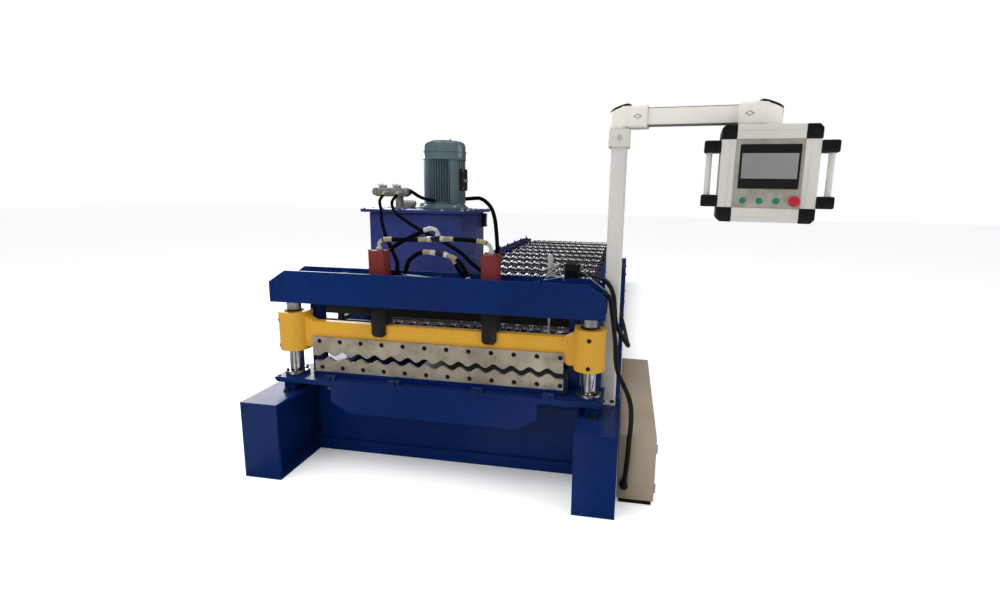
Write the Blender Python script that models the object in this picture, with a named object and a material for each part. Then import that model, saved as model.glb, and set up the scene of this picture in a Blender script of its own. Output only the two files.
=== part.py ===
"""Roll forming machine for corrugated roofing sheet: roller bed, shear, hydraulic unit and pendant.

X runs across the machine, Y from the shear towards the entry end, Z up from the floor.
The origin is under the middle of the front cross sill.
"""
import math

import bmesh
import bpy
from mathutils import Matrix, Vector

# Fits
SEAT = 0.0003             # gap between pieces that rest on each other
RUN = 0.0006              # running fit of a post, rod or journal in its bore

# Sheet profile that the rolls form and the knives follow
PITCH = 0.0762
WAVE_DEPTH = 0.0185
WAVE_COUNT = 13
PASS_Z = 0.491            # middle height of the formed sheet

# Base frame
BEAM_INNER_X = 0.627
BEAM_WIDTH = 0.169
BEAM_HEIGHT = 0.340
BEAM_FRONT_Y = -0.350
BEAM_REAR_MARGIN = 0.200
FLANGE_T = 0.014
WEB_T = 0.010
END_PLATE_T = 0.012
SILL_DEPTH = 0.100
SILL_CHORD_H = 0.053
SILL_TOP_Z = 0.300
SILL_WEB_T = 0.012
CROSS_MEMBERS_BEFORE = (3, 7, 11)     # stations that have a cross member in front of them

# Roller bed
STATIONS = 13
STATION_PITCH = 0.400
FIRST_STATION_Y = 0.429
ROLL_MEAN_R = 0.048
ROLL_GAP = 0.0060         # height left between an upper and a lower roll
ROLL_HALF_LENGTH = 0.530
JOURNAL_R = 0.022
ROLL_SIDES = 8
STAND_INNER_X = 0.585
STAND_OUTER_X = 0.705
STAND_WIDTH = 0.150
RAIL_T = 0.030
STAND_TOP_Z = 0.600
SCREW_R = 0.009
SCREW_H = 0.045

# Shear
SHEAR_Y = -0.171          # front plane of the upper knife
TABLE_TOP_Z = 0.411
TABLE_T = 0.022
TABLE_HALF_WIDTH = 0.728
TABLE_OVERHANG = 0.039
TABLE_DEPTH = 0.190
TABLE_CHAMFER = 0.011
TABLE_FOOT_FRONT = 0.034
TABLE_FOOT_MARGIN = 0.010
TABLE_FOOT_X = (0.657, 0.708)
LUG_X = (-0.466, -0.167, 0.203, 0.504)
LUG_SIZE = (0.050, 0.018, 0.020)
LUG_SCREW_R = 0.006
LUG_SCREW_HEAD = 0.010
APRON_T = 0.012
APRON_HALF_WIDTH = 0.461
APRON_FOOT_HALF_WIDTH = 0.378
APRON_KNEE_Z = 0.318
APRON_FOOT_Z = 0.268
KNIFE_HALF_LENGTH = 0.560
KNIFE_T = 0.0125
KNIFE_CLEARANCE = 0.001   # between the knives, front to back
LOWER_KNIFE_BOTTOM_Z = 0.434
UPPER_KNIFE_TOP_Z = 0.597
KNIFE_OPEN = 0.030        # height between the knives at rest
KNIFE_BOLTS = 12
KNIFE_BOLT_PITCH = 0.0976
KNIFE_BOLT_OFFSET = 0.0105
KNIFE_BOLT_R = 0.007
KNIFE_BOLT_EDGE = 0.019
HOLDER_TOP_Z = 0.474
HOLDER_DEPTH = 0.046
HOLDER_OVERHANG = 0.010

# Guide posts, columns and top beam
POST_X = 0.663
POST_DEPTH_Y = 0.034      # behind the shear plane
POST_R = 0.030
POST_SIDES = 20
POST_FLANGE_R = 0.052
POST_FLANGE_T = 0.018
COLUMN_X = 0.595
COLUMN_SIZE = 0.048
COLUMN_DEPTH_Y = 0.113
TOP_BEAM_HALF_WIDTH = 0.725
TOP_BEAM_BOTTOM_Z = 0.753
TOP_BEAM_TOP_Z = 0.8925
TOP_BEAM_CHAMFER_X = 0.077
TOP_BEAM_CHAMFER_Z = 0.051
TOP_PLATE_T = 0.012
TOP_BAR_X = (-0.430, 0.0, 0.430)
TOP_BAR_WIDTH = 0.030
TOP_BAR_T = 0.014

# Carriage
CARRIAGE_TOP_Z = 0.663
CARRIAGE_BOTTOM_Z = 0.560
CARRIAGE_KNEE_X = 0.560
SLEEVE_R = 0.065
SLEEVE_BOTTOM_Z = 0.530
SLEEVE_TOP_Z = 0.704
SLEEVE_REAR = 0.045
SLEEVE_STEPS = 12
GUSSET_RISE = 0.015
GUSSET_SHOULDER = 0.024    # below the top of the sleeve
SLEEVE_LAP = 0.012         # of the cross beam into the sleeve

# Cylinders and rams
CYLINDER_X = 0.245
CYLINDER_SIZE = 0.084
CYLINDER_TOP_Z = 0.988
CYLINDER_CHAMFER = 0.006
BARREL_R = 0.034
BARREL_BOTTOM_Z = 0.762
CYLINDER_SEAT_Z = 0.815
CYLINDER_SEAT_T = 0.015
CYLINDER_SEAT_HALF = 0.060
ROD_R = 0.0175
ROD_TOP_Z = 0.940
ROD_BORE_TOP_Z = 0.960
CLEVIS_HALF_WIDTH = 0.031
CLEVIS_TOP_Z = 0.745
CLEVIS_BOTTOM_Z = 0.614
CLEVIS_CHAMFER = 0.012
CLEVIS_PRONG_T = 0.016
CLEVIS_CROTCH_CLEAR = 0.004
PIN_Z = 0.638
PIN_R = 0.010

# Hydraulic unit
TANK_X = (-0.790, -0.204)
TANK_Y = (0.829, 1.363)
TANK_BOTTOM_Z = 0.665
LID_TOP_Z = 1.128
LID_T = 0.019
LID_OVERHANG = 0.038
TANK_CHAMFER = 0.012
BEARER_WIDTH = 0.080
BEARER_INSET = 0.070
MOTOR_X = -0.392
MOTOR_Y = 1.098
MOTOR_FLANGE_R = 0.150
MOTOR_FLANGE_T = 0.030
MOTOR_R = 0.118
MOTOR_FIN_H = 0.014
MOTOR_FINS = 20
MOTOR_COWL_R = 0.136
MOTOR_COWL_TOP_R = 0.100
MOTOR_COWL_ROUND = 0.028
MOTOR_COWL_H = 0.120
MOTOR_TOP_Z = 1.560
TERMINAL_BOX = (0.036, 0.110, 0.133)   # reach from the body, width and height
TERMINAL_Z = 1.318
MANIFOLD_X = -0.640
MANIFOLD_Y = 0.905
MANIFOLD_Z = 1.233
MANIFOLD_SIZE = (0.220, 0.070, 0.050)
MANIFOLD_NECK = 0.030
MANIFOLD_CHAMFER = 0.012
MANIFOLD_STAND = 0.060
SOLENOID_X = (-0.050, 0.055)
SOLENOID_R = 0.020
SOLENOID_H = 0.024

# Guard, measuring wheel and electrical cabinet
GUARD_Y = (1.130, 1.580)
GUARD_TOP_Z = 0.800
GUARD_CHAMFER = 0.030
ENCODER_X = 0.478
ENCODER_BAR = (0.020, 0.985, 0.012)   # width, top height and thickness
ENCODER_BODY_REACH = 0.125
ENCODER_BODY_DEPTH = 0.070
ENCODER_BODY_Z = (0.860, 0.953)
ENCODER_STEM_R = 0.005
ENCODER_WHEEL_Z = 0.540
ENCODER_WHEEL_R = 0.036
ENCODER_WHEEL_T = 0.012
CABINET_GAP = 0.003
CABINET_WIDTH = 0.148
CABINET_Y = (-0.228, 0.782)
CABINET_HEIGHT = 0.298
CABINET_PLINTH_H = 0.020
CABINET_PLINTH_INSET = 0.008

# Pendant
MAST_X = 0.7425
MAST_Y = 0.016
MAST_SIZE = 0.066
MAST_CHAMFER = 0.008
MAST_TOP_Z = 1.500
MAST_FOOT_SIZE = (0.066, 0.130)
MAST_FOOT_T = 0.012
COLLAR_SIZE = 0.087
COLLAR_HEIGHT = 0.072
COLLAR_CHAMFER = 0.006
ARM_Z = 1.545
ARM_HEIGHT = 0.066
ARM_WIDTH = 0.060
ARM_SLEEVE = (0.036, 0.112)       # from where to where along the arm, from either axis
ARM_SLEEVE_HALF = 0.042
ELBOW_R = 0.043
ELBOW_TOP_Z = 1.598
ELBOW_CAP_CHAMFER = 0.008
BOX_X = 1.294
BOX_Y = -0.0736
BOX_YAW = -6.8
BOX_WIDTH = 0.335
BOX_BOTTOM_Z = 1.150
BOX_TOP_Z = 1.500
BOX_DEPTH = 0.170
BOX_CHAMFER = 0.014
CORNER_SIZE = 0.052
CORNER_PROUD = 0.0015
FACE_RECESS = 0.006
PANEL_T = 0.003
SCREEN_SIZE = (0.205, 0.1585)
SCREEN_X = 0.002
SCREEN_Z = 1.3506
SCREEN_PROUD = 0.006
BUTTON_Z = 1.228
BUTTON_X = (-0.080, -0.023, 0.034)
BUTTON_R = 0.014
BUTTON_REACH = 0.014
STOP_X = 0.092
STOP_R = 0.020
STOP_NECK_R = 0.012
STOP_REACH = 0.034
STOP_HEAD_T = 0.016
HANDLE_REACH = 0.060
HANDLE_BLOCK = (0.060, 0.044)     # depth and height
HANDLE_Z = (1.225, 1.422)
HANDLE_PROUD = 0.004
HANDLE_TUBE_INSET = 0.020
HANDLE_TUBE_R = 0.011

# Hoses and cables
HOSE_R = 0.010
HOSE_CLEAR = 0.0055         # behind the cylinders
CABLE_R = 0.0115
CONDUIT_R = 0.0135
HOSE_STEPS = 2

PART_COLOURS = {
    "blue_paint": ((0.009, 0.027, 0.105), 0.35, 0.0),
    "yellow_paint": ((0.62, 0.36, 0.045), 0.40, 0.0),
    "red_paint": ((0.22, 0.025, 0.022), 0.45, 0.0),
    "green_paint": ((0.06, 0.12, 0.11), 0.45, 0.0),
    "white_paint": ((0.72, 0.71, 0.67), 0.40, 0.0),
    "beige_paint": ((0.36, 0.33, 0.25), 0.50, 0.0),
    "steel": ((0.45, 0.44, 0.40), 0.35, 1.0),
    "chrome": ((0.75, 0.75, 0.76), 0.15, 1.0),
    "cast_iron": ((0.10, 0.10, 0.11), 0.60, 0.4),
    "black": ((0.012, 0.012, 0.012), 0.50, 0.0),
    "panel": ((0.50, 0.49, 0.45), 0.45, 0.3),
}


def clear_scene():
    for item in list(bpy.data.objects):
        bpy.data.objects.remove(item, do_unlink=True)


def material(name):
    found = bpy.data.materials.get(name)
    if found:
        return found
    colour, roughness, metallic = PART_COLOURS[name]
    made = bpy.data.materials.new(name)
    made.use_nodes = True
    shader = made.node_tree.nodes["Principled BSDF"]
    shader.inputs["Base Color"].default_value = (*colour, 1.0)
    shader.inputs["Roughness"].default_value = roughness
    shader.inputs["Metallic"].default_value = metallic
    return made


def finish_mesh(name, bm, finish, location=(0, 0, 0), yaw=0.0):
    """Turn a bmesh, drawn in world coordinates, into an object with its origin at location."""
    bmesh.ops.recalc_face_normals(bm, faces=bm.faces)
    placed = Matrix.Translation(location) @ Matrix.Rotation(math.radians(yaw), 4, "Z")
    bm.transform(placed.inverted())
    mesh = bpy.data.meshes.new(name)
    bm.to_mesh(mesh)
    bm.free()
    mesh.materials.append(material(finish))
    made = bpy.data.objects.new(name, mesh)
    made.matrix_world = placed
    bpy.context.scene.collection.objects.link(made)
    mesh.shade_smooth()
    mesh.set_sharp_from_angle(angle=math.radians(35))
    return made


def tool(name, bm):
    """A hidden solid that cuts or joins another."""
    made = finish_mesh(name, bm, "steel")
    made.hide_render = True
    made.display_type = "WIRE"
    return made


def combine(target, bm, operation):
    helper = tool(f"{target.name}_{operation.lower()}_{len(target.modifiers)}", bm)
    step = target.modifiers.new(operation.title(), "BOOLEAN")
    step.operation = operation
    step.solver = "EXACT"
    step.object = helper


def cut(target, bm):
    combine(target, bm, "DIFFERENCE")


def fuse(target, bm):
    combine(target, bm, "UNION")


def add_box(bm, x, y, z):
    """A box between the two values given for each axis."""
    corners = [bm.verts.new((px, py, pz)) for pz in z for py in y for px in x]
    for face in ((0, 1, 3, 2), (4, 6, 7, 5), (0, 4, 5, 1), (2, 3, 7, 6), (0, 2, 6, 4), (1, 5, 7, 3)):
        bm.faces.new([corners[i] for i in face])


def add_prism(bm, outline, axis, low, high):
    """Extrude a closed outline, given in the other two axes in X, Y, Z order, along an axis."""
    index = "XYZ".index(axis)

    def place(point, level):
        values = list(point)
        values.insert(index, level)
        return bm.verts.new(values)

    near = [place(point, low) for point in outline]
    far = [place(point, high) for point in outline]
    bm.faces.new(near)
    bm.faces.new(list(reversed(far)))
    for i, start in enumerate(near):
        j = (i + 1) % len(near)
        bm.faces.new((start, far[i], far[j], near[j]))


def add_turned(bm, profile, axis, centre, sides, start=0.5):
    """Turn a list of (place along the axis, radius) about an axis through centre, from a start step."""
    turn = {"X": Matrix.Rotation(math.radians(90), 4, "Y"),
            "Y": Matrix.Rotation(math.radians(-90), 4, "X"),
            "Z": Matrix.Identity(4)}[axis]
    rings = []
    for along, radius in profile:
        ring = []
        for i in range(sides):
            angle = 2 * math.pi * (i + start) / sides
            local = Vector((radius * math.cos(angle), radius * math.sin(angle), along))
            ring.append(bm.verts.new(turn @ local + Vector(centre)))
        rings.append(ring)
    for ring, above in zip(rings, rings[1:]):
        for i in range(sides):
            j = (i + 1) % sides
            bm.faces.new((ring[i], ring[j], above[j], above[i]))
    bm.faces.new(list(reversed(rings[0])))
    bm.faces.new(rings[-1])


def chamfered(x, y, chamfer):
    """Outline of a rectangle with its corners cut off."""
    (x0, x1), (y0, y1) = x, y
    return [(x0 + chamfer, y0), (x1 - chamfer, y0), (x1, y0 + chamfer), (x1, y1 - chamfer),
            (x1 - chamfer, y1), (x0 + chamfer, y1), (x0, y1 - chamfer), (x0, y0 + chamfer)]


def mirrored(half):
    """Close an outline from its right half, listed from the middle to the middle."""
    return half + [(-x, z) for x, z in reversed(half)]


def span(middle, size):
    return (middle - size / 2, middle + size / 2)


def station_y(index):
    return FIRST_STATION_Y + index * STATION_PITCH


def sides():
    return (("left", -1), ("right", 1))


# Base frame

def beam_rear_y():
    return station_y(STATIONS - 1) + BEAM_REAR_MARGIN


def make_base_beams():
    """Two long I beams, closed by an end plate at each end."""
    for side, sign in sides():
        middle = sign * (BEAM_INNER_X + BEAM_WIDTH / 2)
        half = BEAM_WIDTH / 2
        web = WEB_T / 2
        outline = [(middle - half, 0), (middle + half, 0), (middle + half, FLANGE_T),
                   (middle + web, FLANGE_T), (middle + web, BEAM_HEIGHT - FLANGE_T),
                   (middle + half, BEAM_HEIGHT - FLANGE_T), (middle + half, BEAM_HEIGHT),
                   (middle - half, BEAM_HEIGHT), (middle - half, BEAM_HEIGHT - FLANGE_T),
                   (middle - web, BEAM_HEIGHT - FLANGE_T), (middle - web, FLANGE_T),
                   (middle - half, FLANGE_T)]
        bm = bmesh.new()
        add_prism(bm, outline, "Y", BEAM_FRONT_Y + END_PLATE_T / 2, beam_rear_y() - END_PLATE_T / 2)
        beam = finish_mesh(f"base_beam_{side}", bm, "blue_paint")
        plates = bmesh.new()
        for start in (BEAM_FRONT_Y, beam_rear_y() - END_PLATE_T):
            add_box(plates, span(middle, BEAM_WIDTH), (start, start + END_PLATE_T), (0, BEAM_HEIGHT))
        fuse(beam, plates)


def make_cross_members():
    """Front sill and cross members: a deep bottom chord, a set-back web and a top flange."""
    places = [0.0] + [station_y(i) - STATION_PITCH / 2 for i in CROSS_MEMBERS_BEFORE]
    half = SILL_DEPTH / 2
    web = -half + SILL_WEB_T
    for number, y in enumerate(places):
        outline = [(y - half, 0), (y + half, 0), (y + half, SILL_CHORD_H),
                   (y + web + SILL_WEB_T, SILL_CHORD_H),
                   (y + web + SILL_WEB_T, SILL_TOP_Z - SILL_WEB_T), (y + half, SILL_TOP_Z - SILL_WEB_T),
                   (y + half, SILL_TOP_Z), (y + web, SILL_TOP_Z), (y + web, SILL_CHORD_H),
                   (y - half, SILL_CHORD_H)]
        bm = bmesh.new()
        add_prism(bm, outline, "X", -BEAM_INNER_X + SEAT, BEAM_INNER_X - SEAT)
        name = "front_cross_sill" if number == 0 else f"cross_member_{number}"
        finish_mesh(name, bm, "blue_paint")


# Roller bed

def waves_formed(index):
    """The sheet enters flat at the last station and has all its waves at the first."""
    return WAVE_COUNT * (STATIONS - index) // STATIONS


def roll_profile(index, phase):
    """Half-pitch crests and grooves across the formed width, plain beyond it, then journals."""
    mean = ROLL_MEAN_R - ROLL_GAP / 2
    waves = waves_formed(index)
    edge = (waves + 0.5) * PITCH / 2
    journal_end = STAND_OUTER_X - RAIL_T
    shape = [(-journal_end, JOURNAL_R), (-ROLL_HALF_LENGTH, JOURNAL_R), (-ROLL_HALF_LENGTH, mean)]
    shape.append((-edge, mean))
    for j in range(-waves, waves + 1):
        sign = 1 if j % 2 == 0 else -1
        shape.append((j * PITCH / 2, mean + sign * phase * WAVE_DEPTH / 2))
    shape.append((edge, mean))
    shape += [(ROLL_HALF_LENGTH, mean), (ROLL_HALF_LENGTH, JOURNAL_R), (journal_end, JOURNAL_R)]
    return shape


def upper_axis_z():
    return PASS_Z + ROLL_MEAN_R


def lower_axis_z():
    return PASS_Z - ROLL_MEAN_R


def make_upper_rolls():
    for index in range(STATIONS):
        centre = (0, station_y(index), upper_axis_z())
        bm = bmesh.new()
        add_turned(bm, roll_profile(index, 1), "X", centre, ROLL_SIDES)
        finish_mesh(f"upper_roll_{index + 1:02d}", bm, "chrome", centre)


def stand_centre_x(sign):
    return sign * (STAND_INNER_X + STAND_OUTER_X) / 2


def make_lower_bed():
    """Lower rolls and the two bearing rails that carry them, set on the base beams."""
    base_z = BEAM_HEIGHT + SEAT
    half = STAND_WIDTH / 2
    outline = [(station_y(STATIONS - 1) + half, base_z), (station_y(0) - half, base_z)]
    for index in range(STATIONS):
        y = station_y(index)
        outline += [(y - half, base_z + RAIL_T), (y - half, PASS_Z), (y + half, PASS_Z),
                    (y + half, base_z + RAIL_T)]
    outline = [outline[1]] + outline[3:-1] + [outline[0]]
    rails = []
    for side, sign in sides():
        bm = bmesh.new()
        x = sorted((sign * STAND_INNER_X, sign * STAND_OUTER_X))
        add_prism(bm, outline, "X", *x)
        rails.append(bm)
    bed = finish_mesh("lower_roll_bed", rails[0], "chrome")
    rolls = bmesh.new()
    for index in range(STATIONS):
        add_turned(rolls, roll_profile(index, -1), "X", (0, station_y(index), lower_axis_z()), ROLL_SIDES)
    fuse(bed, rolls)
    fuse(bed, rails[1])


def make_side_frames():
    """Upper bearing yokes, one at each station, hung from a tie bar with its adjusting screws."""
    half = STAND_WIDTH / 2
    bore_r = (JOURNAL_R + RUN) / math.cos(math.pi / ROLL_SIDES)
    first, last = station_y(0) - half, station_y(STATIONS - 1) + half
    outline = [(last, STAND_TOP_Z), (first, STAND_TOP_Z)]
    for index in range(STATIONS):
        y = station_y(index)
        outline += [(y - half, STAND_TOP_Z - RAIL_T), (y - half, PASS_Z + SEAT),
                    (y + half, PASS_Z + SEAT), (y + half, STAND_TOP_Z - RAIL_T)]
    outline = [outline[1]] + outline[3:-1] + [outline[0]]
    for side, sign in sides():
        bm = bmesh.new()
        add_prism(bm, outline, "X", *sorted((sign * STAND_INNER_X, sign * STAND_OUTER_X)))
        frame = finish_mesh(f"side_frame_{side}", bm, "blue_paint")
        bores = bmesh.new()
        screws = bmesh.new()
        for index in range(STATIONS):
            y = station_y(index)
            x = sorted((sign * (STAND_INNER_X - RAIL_T), sign * (STAND_OUTER_X + RAIL_T)))
            add_turned(bores, [(x[0], bore_r), (x[1], bore_r)], "X", (0, y, upper_axis_z()), ROLL_SIDES, 0)
            add_turned(screws, [(STAND_TOP_Z - RAIL_T / 2, SCREW_R), (STAND_TOP_Z + SCREW_H, SCREW_R)],
                       "Z", (stand_centre_x(sign), y, 0), 6)
        cut(frame, bores)
        fuse(frame, screws)


# Shear

def make_table():
    """Shear table with its feet on the base beams and four adjusting lugs on the front edge."""
    front = SHEAR_Y - TABLE_OVERHANG
    bottom = TABLE_TOP_Z - TABLE_T
    half = TABLE_HALF_WIDTH
    outline = [(-half + TABLE_CHAMFER, bottom), (half - TABLE_CHAMFER, bottom),
               (half, bottom + TABLE_CHAMFER), (half, TABLE_TOP_Z), (-half, TABLE_TOP_Z),
               (-half, bottom + TABLE_CHAMFER)]
    bm = bmesh.new()
    add_prism(bm, outline, "Y", front, front + TABLE_DEPTH)
    table = finish_mesh("shear_table", bm, "blue_paint")
    extras = bmesh.new()
    for side, sign in sides():
        x = sorted(sign * edge for edge in TABLE_FOOT_X)
        add_box(extras, x, (front + TABLE_FOOT_FRONT, front + TABLE_DEPTH - TABLE_FOOT_MARGIN),
                (BEAM_HEIGHT + SEAT, bottom + TABLE_T / 2))
    width, depth, height = LUG_SIZE
    for x in LUG_X:
        add_box(extras, span(x, width), (front + 0.001, front + 0.001 + depth),
                (TABLE_TOP_Z - TABLE_T / 2, TABLE_TOP_Z + height))
    fuse(table, extras)
    screws = bmesh.new()
    for x in LUG_X:
        reach = (front - LUG_SCREW_HEAD, holder_front_y() - SEAT)
        add_turned(screws, [(y, LUG_SCREW_R) for y in reach], "Y", (x, 0, TABLE_TOP_Z + height / 2), 6)
    fuse(table, screws)


def make_apron():
    bm = bmesh.new()
    top = TABLE_TOP_Z - TABLE_T - SEAT
    outline = mirrored([(APRON_FOOT_HALF_WIDTH, APRON_FOOT_Z), (APRON_HALF_WIDTH, APRON_KNEE_Z),
                        (APRON_HALF_WIDTH, top)])
    front = SHEAR_Y - TABLE_OVERHANG
    add_prism(bm, outline, "Y", front, front + APRON_T)
    finish_mesh("apron_plate", bm, "blue_paint")


def holder_front_y():
    return SHEAR_Y + KNIFE_T + KNIFE_CLEARANCE


def make_knife_holder():
    """Ledged bar that carries the lower knife."""
    front = holder_front_y()
    back_of_knife = front + KNIFE_T + SEAT
    rear = front + HOLDER_DEPTH
    bottom = TABLE_TOP_Z + SEAT
    ledge = LOWER_KNIFE_BOTTOM_Z - SEAT
    outline = [(front, bottom), (rear, bottom), (rear, HOLDER_TOP_Z), (back_of_knife, HOLDER_TOP_Z),
               (back_of_knife, ledge), (front, ledge)]
    bm = bmesh.new()
    reach = KNIFE_HALF_LENGTH + HOLDER_OVERHANG
    add_prism(bm, outline, "X", -reach, reach)
    finish_mesh("knife_holder", bm, "blue_paint")


def wave_edge(base_z):
    """Corrugated edge from left to right: straight flanks with a flat at each crest and groove."""
    points = [(-KNIFE_HALF_LENGTH, base_z - WAVE_DEPTH / 2)]
    steps = 6
    reach = (WAVE_COUNT + 1) * steps // 2
    for j in range(-reach, reach + 1):
        height = -math.cos(2 * math.pi * j / steps)
        points.append((j * PITCH / steps, base_z + height * WAVE_DEPTH / 2))
    points.append((KNIFE_HALF_LENGTH, base_z - WAVE_DEPTH / 2))
    return points


def make_knife(name, outline, y, bolt_z):
    bm = bmesh.new()
    add_prism(bm, outline, "Y", y, y + KNIFE_T)
    knife = finish_mesh(name, bm, "steel")
    holes = bmesh.new()
    first = KNIFE_BOLT_OFFSET - (KNIFE_BOLTS - 1) * KNIFE_BOLT_PITCH / 2
    for i in range(KNIFE_BOLTS):
        add_turned(holes, [(y - KNIFE_T, KNIFE_BOLT_R), (y + 2 * KNIFE_T, KNIFE_BOLT_R)], "Y",
                   (first + i * KNIFE_BOLT_PITCH, 0, bolt_z), 8)
    cut(knife, holes)


def make_knives():
    half = KNIFE_HALF_LENGTH
    lower = wave_edge(PASS_Z) + [(half, LOWER_KNIFE_BOTTOM_Z), (-half, LOWER_KNIFE_BOTTOM_Z)]
    make_knife("lower_knife", lower, holder_front_y(), LOWER_KNIFE_BOTTOM_Z + KNIFE_BOLT_EDGE)
    upper = wave_edge(PASS_Z + KNIFE_OPEN) + [(half, UPPER_KNIFE_TOP_Z), (-half, UPPER_KNIFE_TOP_Z)]
    make_knife("upper_knife", upper, SHEAR_Y, UPPER_KNIFE_TOP_Z - KNIFE_BOLT_EDGE)


def post_y():
    return SHEAR_Y + POST_DEPTH_Y


def make_guide_posts():
    foot = TABLE_TOP_Z + SEAT
    profile = [(foot, POST_FLANGE_R), (foot + POST_FLANGE_T, POST_FLANGE_R),
               (foot + POST_FLANGE_T, POST_R), (TOP_BEAM_BOTTOM_Z - SEAT, POST_R)]
    for side, sign in sides():
        centre = (sign * POST_X, post_y(), 0)
        bm = bmesh.new()
        add_turned(bm, profile, "Z", centre, POST_SIDES)
        finish_mesh(f"guide_post_{side}", bm, "chrome")


def make_rear_columns():
    for side, sign in sides():
        bm = bmesh.new()
        y = SHEAR_Y + COLUMN_DEPTH_Y
        add_box(bm, span(sign * COLUMN_X, COLUMN_SIZE), span(y, COLUMN_SIZE),
                (TABLE_TOP_Z + SEAT, TOP_BEAM_BOTTOM_Z - SEAT))
        finish_mesh(f"rear_column_{side}", bm, "blue_paint")


def beam_plate_y():
    """Front faces of the front and the rear plate of the top beam."""
    rear = SHEAR_Y + COLUMN_DEPTH_Y - TOP_PLATE_T / 2
    return SHEAR_Y - TABLE_OVERHANG, rear


def make_top_beam():
    """Two chamfered plates joined by bars, post caps and the seats of the cylinders."""
    front, rear = beam_plate_y()
    half = TOP_BEAM_HALF_WIDTH
    knee_z = TOP_BEAM_TOP_Z - TOP_BEAM_CHAMFER_Z
    outline = mirrored([(half, TOP_BEAM_BOTTOM_Z), (half, knee_z),
                        (half - TOP_BEAM_CHAMFER_X, TOP_BEAM_TOP_Z)])
    bm = bmesh.new()
    add_prism(bm, outline, "Y", front, front + TOP_PLATE_T)
    beam = finish_mesh("top_beam", bm, "blue_paint")
    bars = bmesh.new()
    reach = (front + TOP_PLATE_T / 2, rear + TOP_PLATE_T / 2)
    for x in TOP_BAR_X:
        top = TOP_BEAM_TOP_Z - TOP_BAR_T
        add_box(bars, span(x, TOP_BAR_WIDTH), reach, (top - TOP_BAR_T, top))
    for side, sign in sides():
        add_box(bars, span(sign * POST_X, 2 * POST_FLANGE_R), reach,
                (TOP_BEAM_BOTTOM_Z, TOP_BEAM_BOTTOM_Z + POST_FLANGE_T))
        add_box(bars, span(sign * CYLINDER_X, 2 * CYLINDER_SEAT_HALF), reach,
                (CYLINDER_SEAT_Z - CYLINDER_SEAT_T, CYLINDER_SEAT_Z))
    fuse(beam, bars)
    back = bmesh.new()
    add_prism(back, outline, "Y", rear, rear + TOP_PLATE_T)
    fuse(beam, back)
    holes = bmesh.new()
    for side, sign in sides():
        add_turned(holes, [(TOP_BEAM_BOTTOM_Z, BARREL_R + RUN), (TOP_BEAM_TOP_Z, BARREL_R + RUN)], "Z",
                   (sign * CYLINDER_X, post_y(), 0), POST_SIDES)
    cut(beam, holes)


# Carriage, cylinders and rams

def carriage_front_y():
    return SHEAR_Y + KNIFE_T + SEAT


def carriage_thickness():
    return 2 * (post_y() - carriage_front_y())


def make_carriage():
    """Yellow cross beam with a half-round guide sleeve at each end."""
    front = carriage_front_y()
    rear = front + carriage_thickness()
    inner = POST_X - SLEEVE_R
    half = [(CARRIAGE_KNEE_X, CARRIAGE_BOTTOM_Z),
            (CARRIAGE_KNEE_X + GUSSET_RISE, CARRIAGE_BOTTOM_Z - GUSSET_RISE),
            (inner + SLEEVE_LAP, CARRIAGE_BOTTOM_Z - GUSSET_RISE),
            (inner + SLEEVE_LAP, SLEEVE_TOP_Z - GUSSET_RISE),
            (inner - SLEEVE_LAP / 2, SLEEVE_TOP_Z - GUSSET_SHOULDER),
            (CARRIAGE_KNEE_X, CARRIAGE_TOP_Z)]
    bm = bmesh.new()
    add_prism(bm, mirrored(half), "Y", front, rear)
    carriage = finish_mesh("shear_carriage", bm, "yellow_paint", (0, post_y(), CARRIAGE_TOP_Z))
    sleeves = bmesh.new()
    bores = bmesh.new()
    for side, sign in sides():
        x = sign * POST_X
        rear_face = post_y() + SLEEVE_REAR
        outline = [(x + SLEEVE_R, rear_face), (x - SLEEVE_R, rear_face)]
        for i in range(SLEEVE_STEPS + 1):
            angle = math.pi + math.pi * i / SLEEVE_STEPS
            outline.append((x + SLEEVE_R * math.cos(angle), post_y() + SLEEVE_R * math.sin(angle)))
        add_prism(sleeves, outline, "Z", SLEEVE_BOTTOM_Z, SLEEVE_TOP_Z)
        reach = (SLEEVE_BOTTOM_Z - POST_R, SLEEVE_TOP_Z + POST_R)
        add_turned(bores, [(z, POST_R + RUN) for z in reach], "Z", (x, post_y(), 0), POST_SIDES)
    fuse(carriage, sleeves)
    cut(carriage, bores)
    pins = bmesh.new()
    for side, sign in sides():
        add_turned(pins, [(front - KNIFE_T, PIN_R + RUN), (rear + KNIFE_T, PIN_R + RUN)], "Y",
                   (sign * CYLINDER_X, 0, PIN_Z), 12)
    cut(carriage, pins)


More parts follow.
